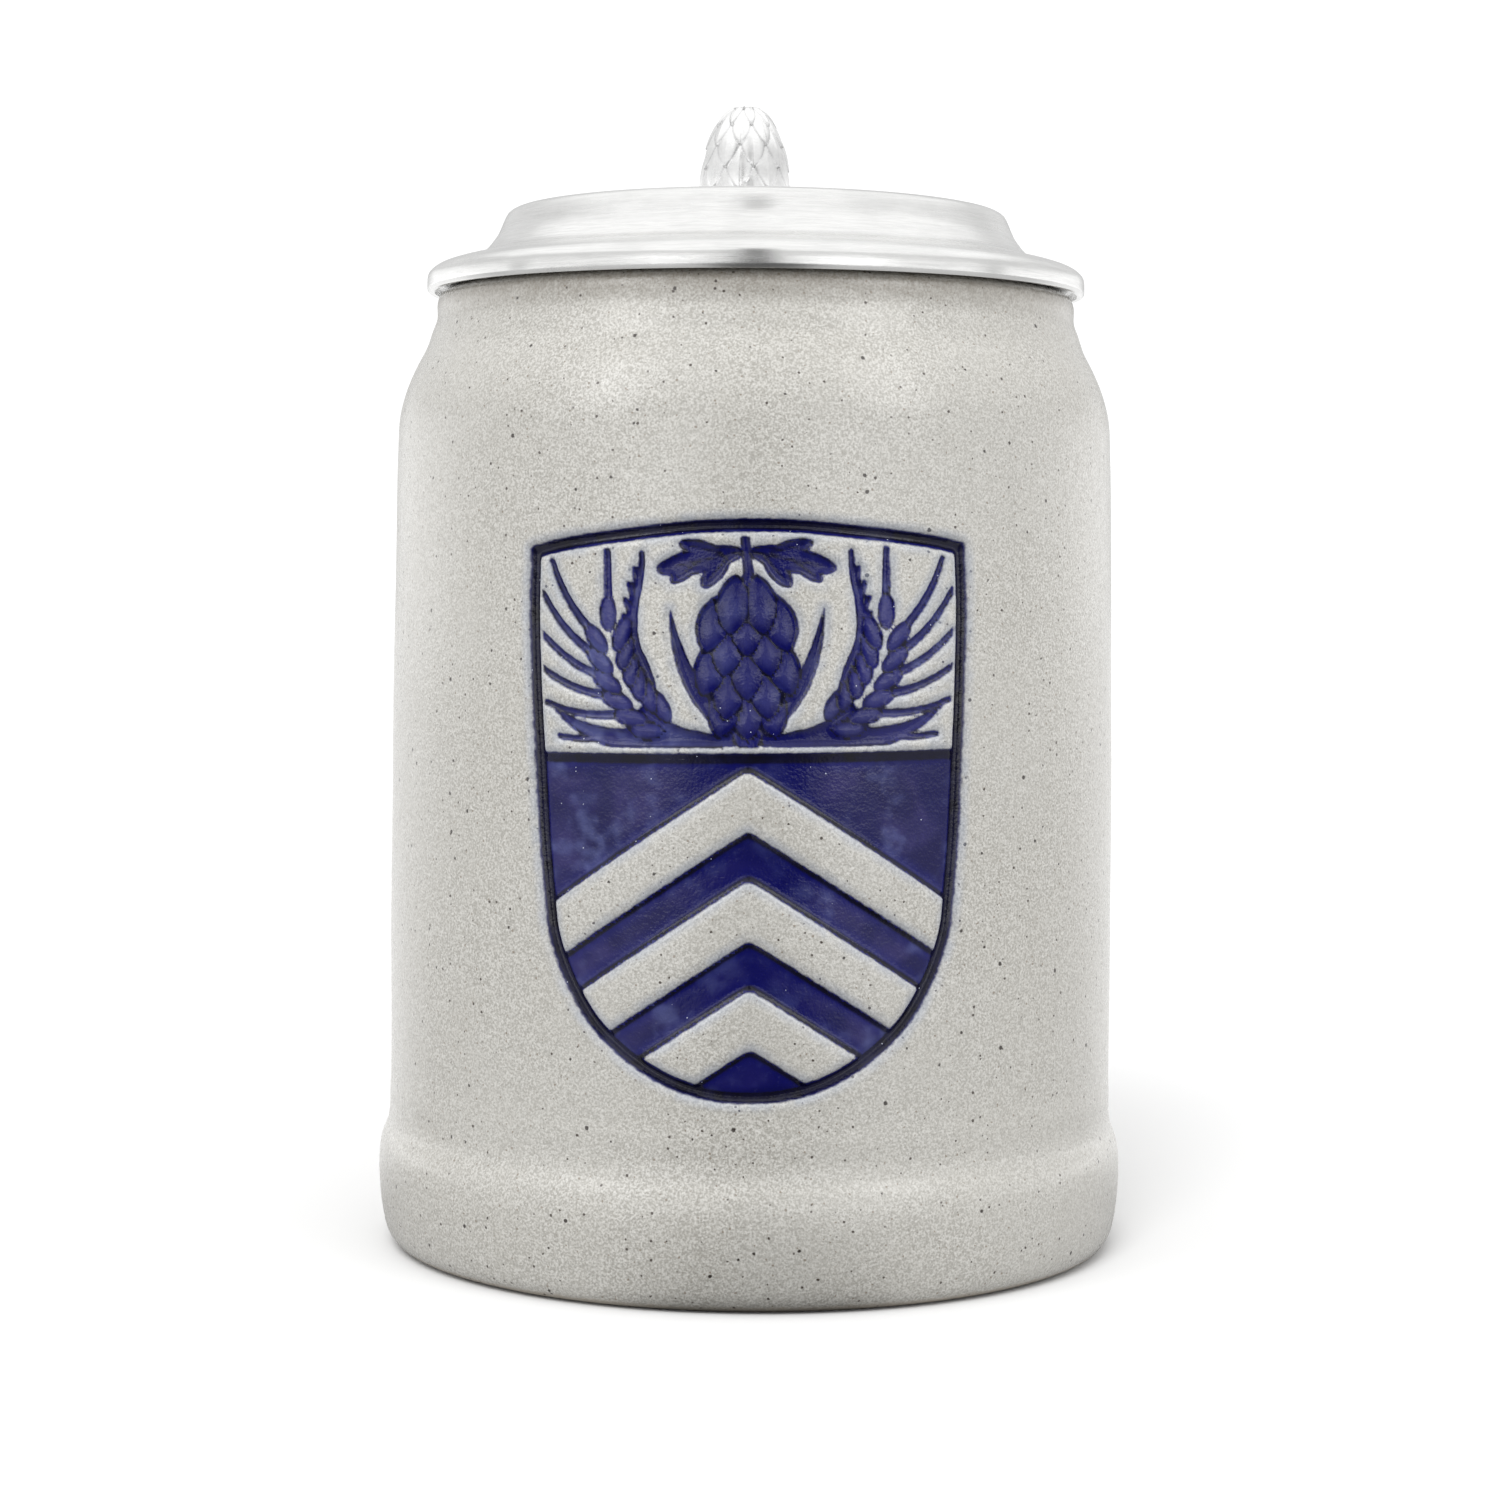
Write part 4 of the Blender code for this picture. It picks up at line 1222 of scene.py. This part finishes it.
dress(build_mug(), stoneware(), "mug", "mug_body")
dress(build_lid(), pewter("spun_pewter", base=(0.865, 0.865, 0.855), turned=True),
      "lid", "lid")
dress(build_thumb(),
      pewter("thumb_pewter", base=(0.97, 0.97, 0.965), rough=(0.26, 0.36), cast=0.02, patina=0.48),
      "lid", "thumb_lift")
dress(build_shank(), pewter("shank_pewter", **HINGE_METAL), "lid", "lid_shank")
dress(build_block(), pewter("block_pewter", **HINGE_METAL), "mug", "hinge_block")
dress(build_strap(),
      pewter("strap_pewter", **BRUSHED, brush_axis="Z", cast=0.018, crevice=0.70),
      "mug", "handle_strap")
for side, label in ((-1, "left"), (1, "right")):
    dress(build_plug(side, label),
          pewter(f"plug_{label}_pewter", base=FITTING, cast=0.01, crevice=0.70),
          "mug", f"pin_cap_{label}")
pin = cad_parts["hinge_pin"]
pin.data.materials.clear()
pin.data.materials.append(
    pewter("drawn_steel", base=(0.55, 0.55, 0.56), rough=(0.22, 0.34), brush_axis="X")
)

# ------------------------------------------------- stage (lengths in metres)
FLOOR_HALF, FLOOR_DROP = 6.0, 0.0001
VIEW_TURN = math.radians(1.93)  # the camera stands this far to the left of the handle's plane


def floor_material():
    n = Material("pale_floor")
    seen = n.node("LightPath").outputs["Is Camera Ray"]
    n.set(Roughness=1.0, Specular_IOR_Level=0.0)
    # All but the camera see a floor that is dark in front, where the camera stands, and
    # lighter behind.
    x, y, _ = n.split(n.place)
    azimuth = n.math("ABSOLUTE", n.math("ARCTAN2", x, n.times(y, -1.0)))
    front = n.ramp(azimuth, math.radians(9), math.radians(27), 0.06, 0.34)
    back = n.ramp(azimuth, math.radians(100), math.radians(135), 0.0, 0.26)
    grey = n.plus(front, back)
    n.set(Base_Color=n.mix(seen, n.join(grey, grey, grey), (0.648, 0.648, 0.648)))
    return n.material


def build_floor():
    mesh = bpy.data.meshes.new("floor")
    corners = [(x * FLOOR_HALF, y * FLOOR_HALF, 0) for x, y in ((-1, -1), (1, -1), (1, 1), (-1, 1))]
    mesh.from_pydata(corners, [], [(0, 1, 2, 3)])
    floor = link("floor", mesh)
    floor.location.z = -FLOOR_DROP
    mesh.materials.append(floor_material())
    return floor


def build_world():
    """A white tent: broad panels either side of the camera, a dark gap where it stands,
    dimmer flanks and a dim rear."""
    world = bpy.data.worlds.new("studio")
    bpy.context.scene.world = world
    world.use_nodes = True
    sky = Graph(world.node_tree)
    x, y, z = sky.split(sky.node("TexCoord").outputs["Generated"])
    plus, minus, times = sky.plus, sky.minus, sky.times

    def magnitude(value):
        return sky.math("ABSOLUTE", value, 0.0)

    def by_angle(value, lo, hi, at_lo, at_hi):
        return sky.ramp(value, math.radians(lo), math.radians(hi), at_lo, at_hi)

    def by_height(lo, hi, at_lo=0.0, at_hi=1.0):
        return sky.ramp(z, lo, hi, at_lo, at_hi)

    # Azimuths are degrees off the camera; heights are the z of the direction looked in.
    azimuth = magnitude(plus(sky.math("ARCTAN2", x, times(y, -1.0)), VIEW_TURN))
    upper = by_height(0.03, 0.09)
    lower = minus(1.0, upper)
    mid = by_height(0.12, 0.24)
    roof = by_height(0.52, 0.86)
    high = by_height(0.72, 0.88)

    # The low ring, brightened and dimmed from the front to the rear.
    panels = by_angle(azimuth, 34, 58, 2.35, 1.13)
    flank = by_angle(azimuth, 45, 62, 0.0, 0.48)
    rear = by_angle(azimuth, 98, 122, 0.0, 0.30)
    corner = by_angle(azimuth, 125, 150, 0.0, -0.60)
    behind = by_angle(azimuth, 150, 162, 0.0, -0.52)
    side_slit = by_angle(magnitude(minus(azimuth, math.radians(89))), 2, 7, -0.62, 0.0)
    below_eye = times(plus(plus(flank, rear), corner), lower)
    ring = plus(plus(plus(panels, side_slit), behind), below_eye)

    # The ring above it.
    upper_panels = by_angle(azimuth, 34, 58, 1.95, 1.50)
    rear_dim = by_angle(azimuth, 90, 122, 0.0, -0.55)
    upper_front = plus(times(side_slit, 0.5), upper_panels)
    upper_ring = plus(upper_front, plus(times(behind, 0.5), rear_dim))

    # The camera's gap is wide low down, narrow above and closed under the roof.
    wide_gap = by_angle(azimuth, 9, 24, 0.05, 1.0)
    narrow_gap = by_angle(azimuth, 3, 10.5, 0.10, 1.0)
    gap = plus(times(wide_gap, lower), times(narrow_gap, upper))

    around = plus(times(ring, minus(1.0, mid)), times(upper_ring, mid))
    tent = plus(times(around, minus(1.0, roof)), times(roof, 1.32))
    tent = times(tent, sky.math("MAXIMUM", gap, high))
    # What metal and glaze mirror is held below the panels' strength, so that polished faces
    # keep their tone.
    held = plus(by_height(0.09, 0.18, 2.4, 0.78), by_height(0.50, 0.66, 0.0, 0.36))
    mirrored = sky.math("MINIMUM", tent, held)

    path = sky.node("LightPath")
    lighting, backdrop = sky.node("Background"), sky.node("Background")
    strength = sky.mix_value(path.outputs["Is Glossy Ray"], tent, mirrored)
    for background, value in ((lighting, strength), (backdrop, 1.15)):
        sky.put(background.inputs["Color"], (1.0, 1.0, 1.0))
        sky.put(background.inputs["Strength"], value)
    chosen = sky.node("MixShader")
    sky.put(chosen.inputs[0], path.outputs["Is Camera Ray"])
    sky.put(chosen.inputs[1], lighting.outputs[0])
    sky.put(chosen.inputs[2], backdrop.outputs[0])
    sky.put(sky.node("OutputWorld").inputs[0], chosen.outputs[0])


def receivers(name, *objects):
    """A collection of the only objects a light falls on."""
    collection = bpy.data.collections.new(name)
    for ob in objects:
        collection.objects.link(ob)
    return collection


def aim(ob, direction):
    ob.rotation_euler = Vector(direction).to_track_quat("-Z", "Y").to_euler()


def softbox(name, place, size, watts):
    data = bpy.data.lights.new(name, "AREA")
    data.shape = "RECTANGLE"
    data.size, data.size_y = size
    data.energy = watts
    ob = link(name, data)
    ob.location = place
    aim(ob, Vector((0, 0, 0.07)) - Vector(place))
    ob.visible_camera = False
    ob.light_linking.receiver_collection = ware_only


def floor_key():
    """Draws the soft shadow on the floor, to the right and behind."""
    data = bpy.data.lights.new("floor_key", "SUN")
    data.energy = 1.95
    data.angle = math.radians(26)
    ob = link("floor_key", data)
    aim(ob, (0.24, 1.0, -1.0))
    ob.light_linking.receiver_collection = receivers("floor_only", floor)


def build_camera():
    distance, height, offset = 0.4253, 0.0898, -0.00029
    look_down, roll = math.radians(3.36), math.radians(0.45)
    data = bpy.data.cameras.new("camera")
    data.sensor_width = 36.0
    data.lens = 76.896
    data.clip_start, data.clip_end = 0.01, 50.0
    camera = link("camera", data)
    camera.matrix_world = (
        Matrix.Rotation(-VIEW_TURN, 4, "Z")
        @ Matrix.Translation((offset, -distance, height))
        @ Matrix.Rotation(math.radians(90) - look_down, 4, "X")
        @ Matrix.Rotation(roll, 4, "Z")
    )
    bpy.context.scene.camera = camera


floor = build_floor()
build_world()
# The two softboxes draw the highlights of the glaze; the pewter is lit by the tent alone.
ware_only = receivers("ware_only", bpy.data.objects["mug_shell"], floor)
softbox("left_box", place=(-0.56, -0.46, 0.52), size=(0.26, 0.50), watts=0.9)
floor_key()
softbox("right_box", place=(0.52, -0.52, 0.54), size=(0.28, 0.50), watts=0.8)
build_camera()
bpy.context.scene.view_settings.view_transform = "Standard"
bpy.context.scene.view_settings.look = "None"
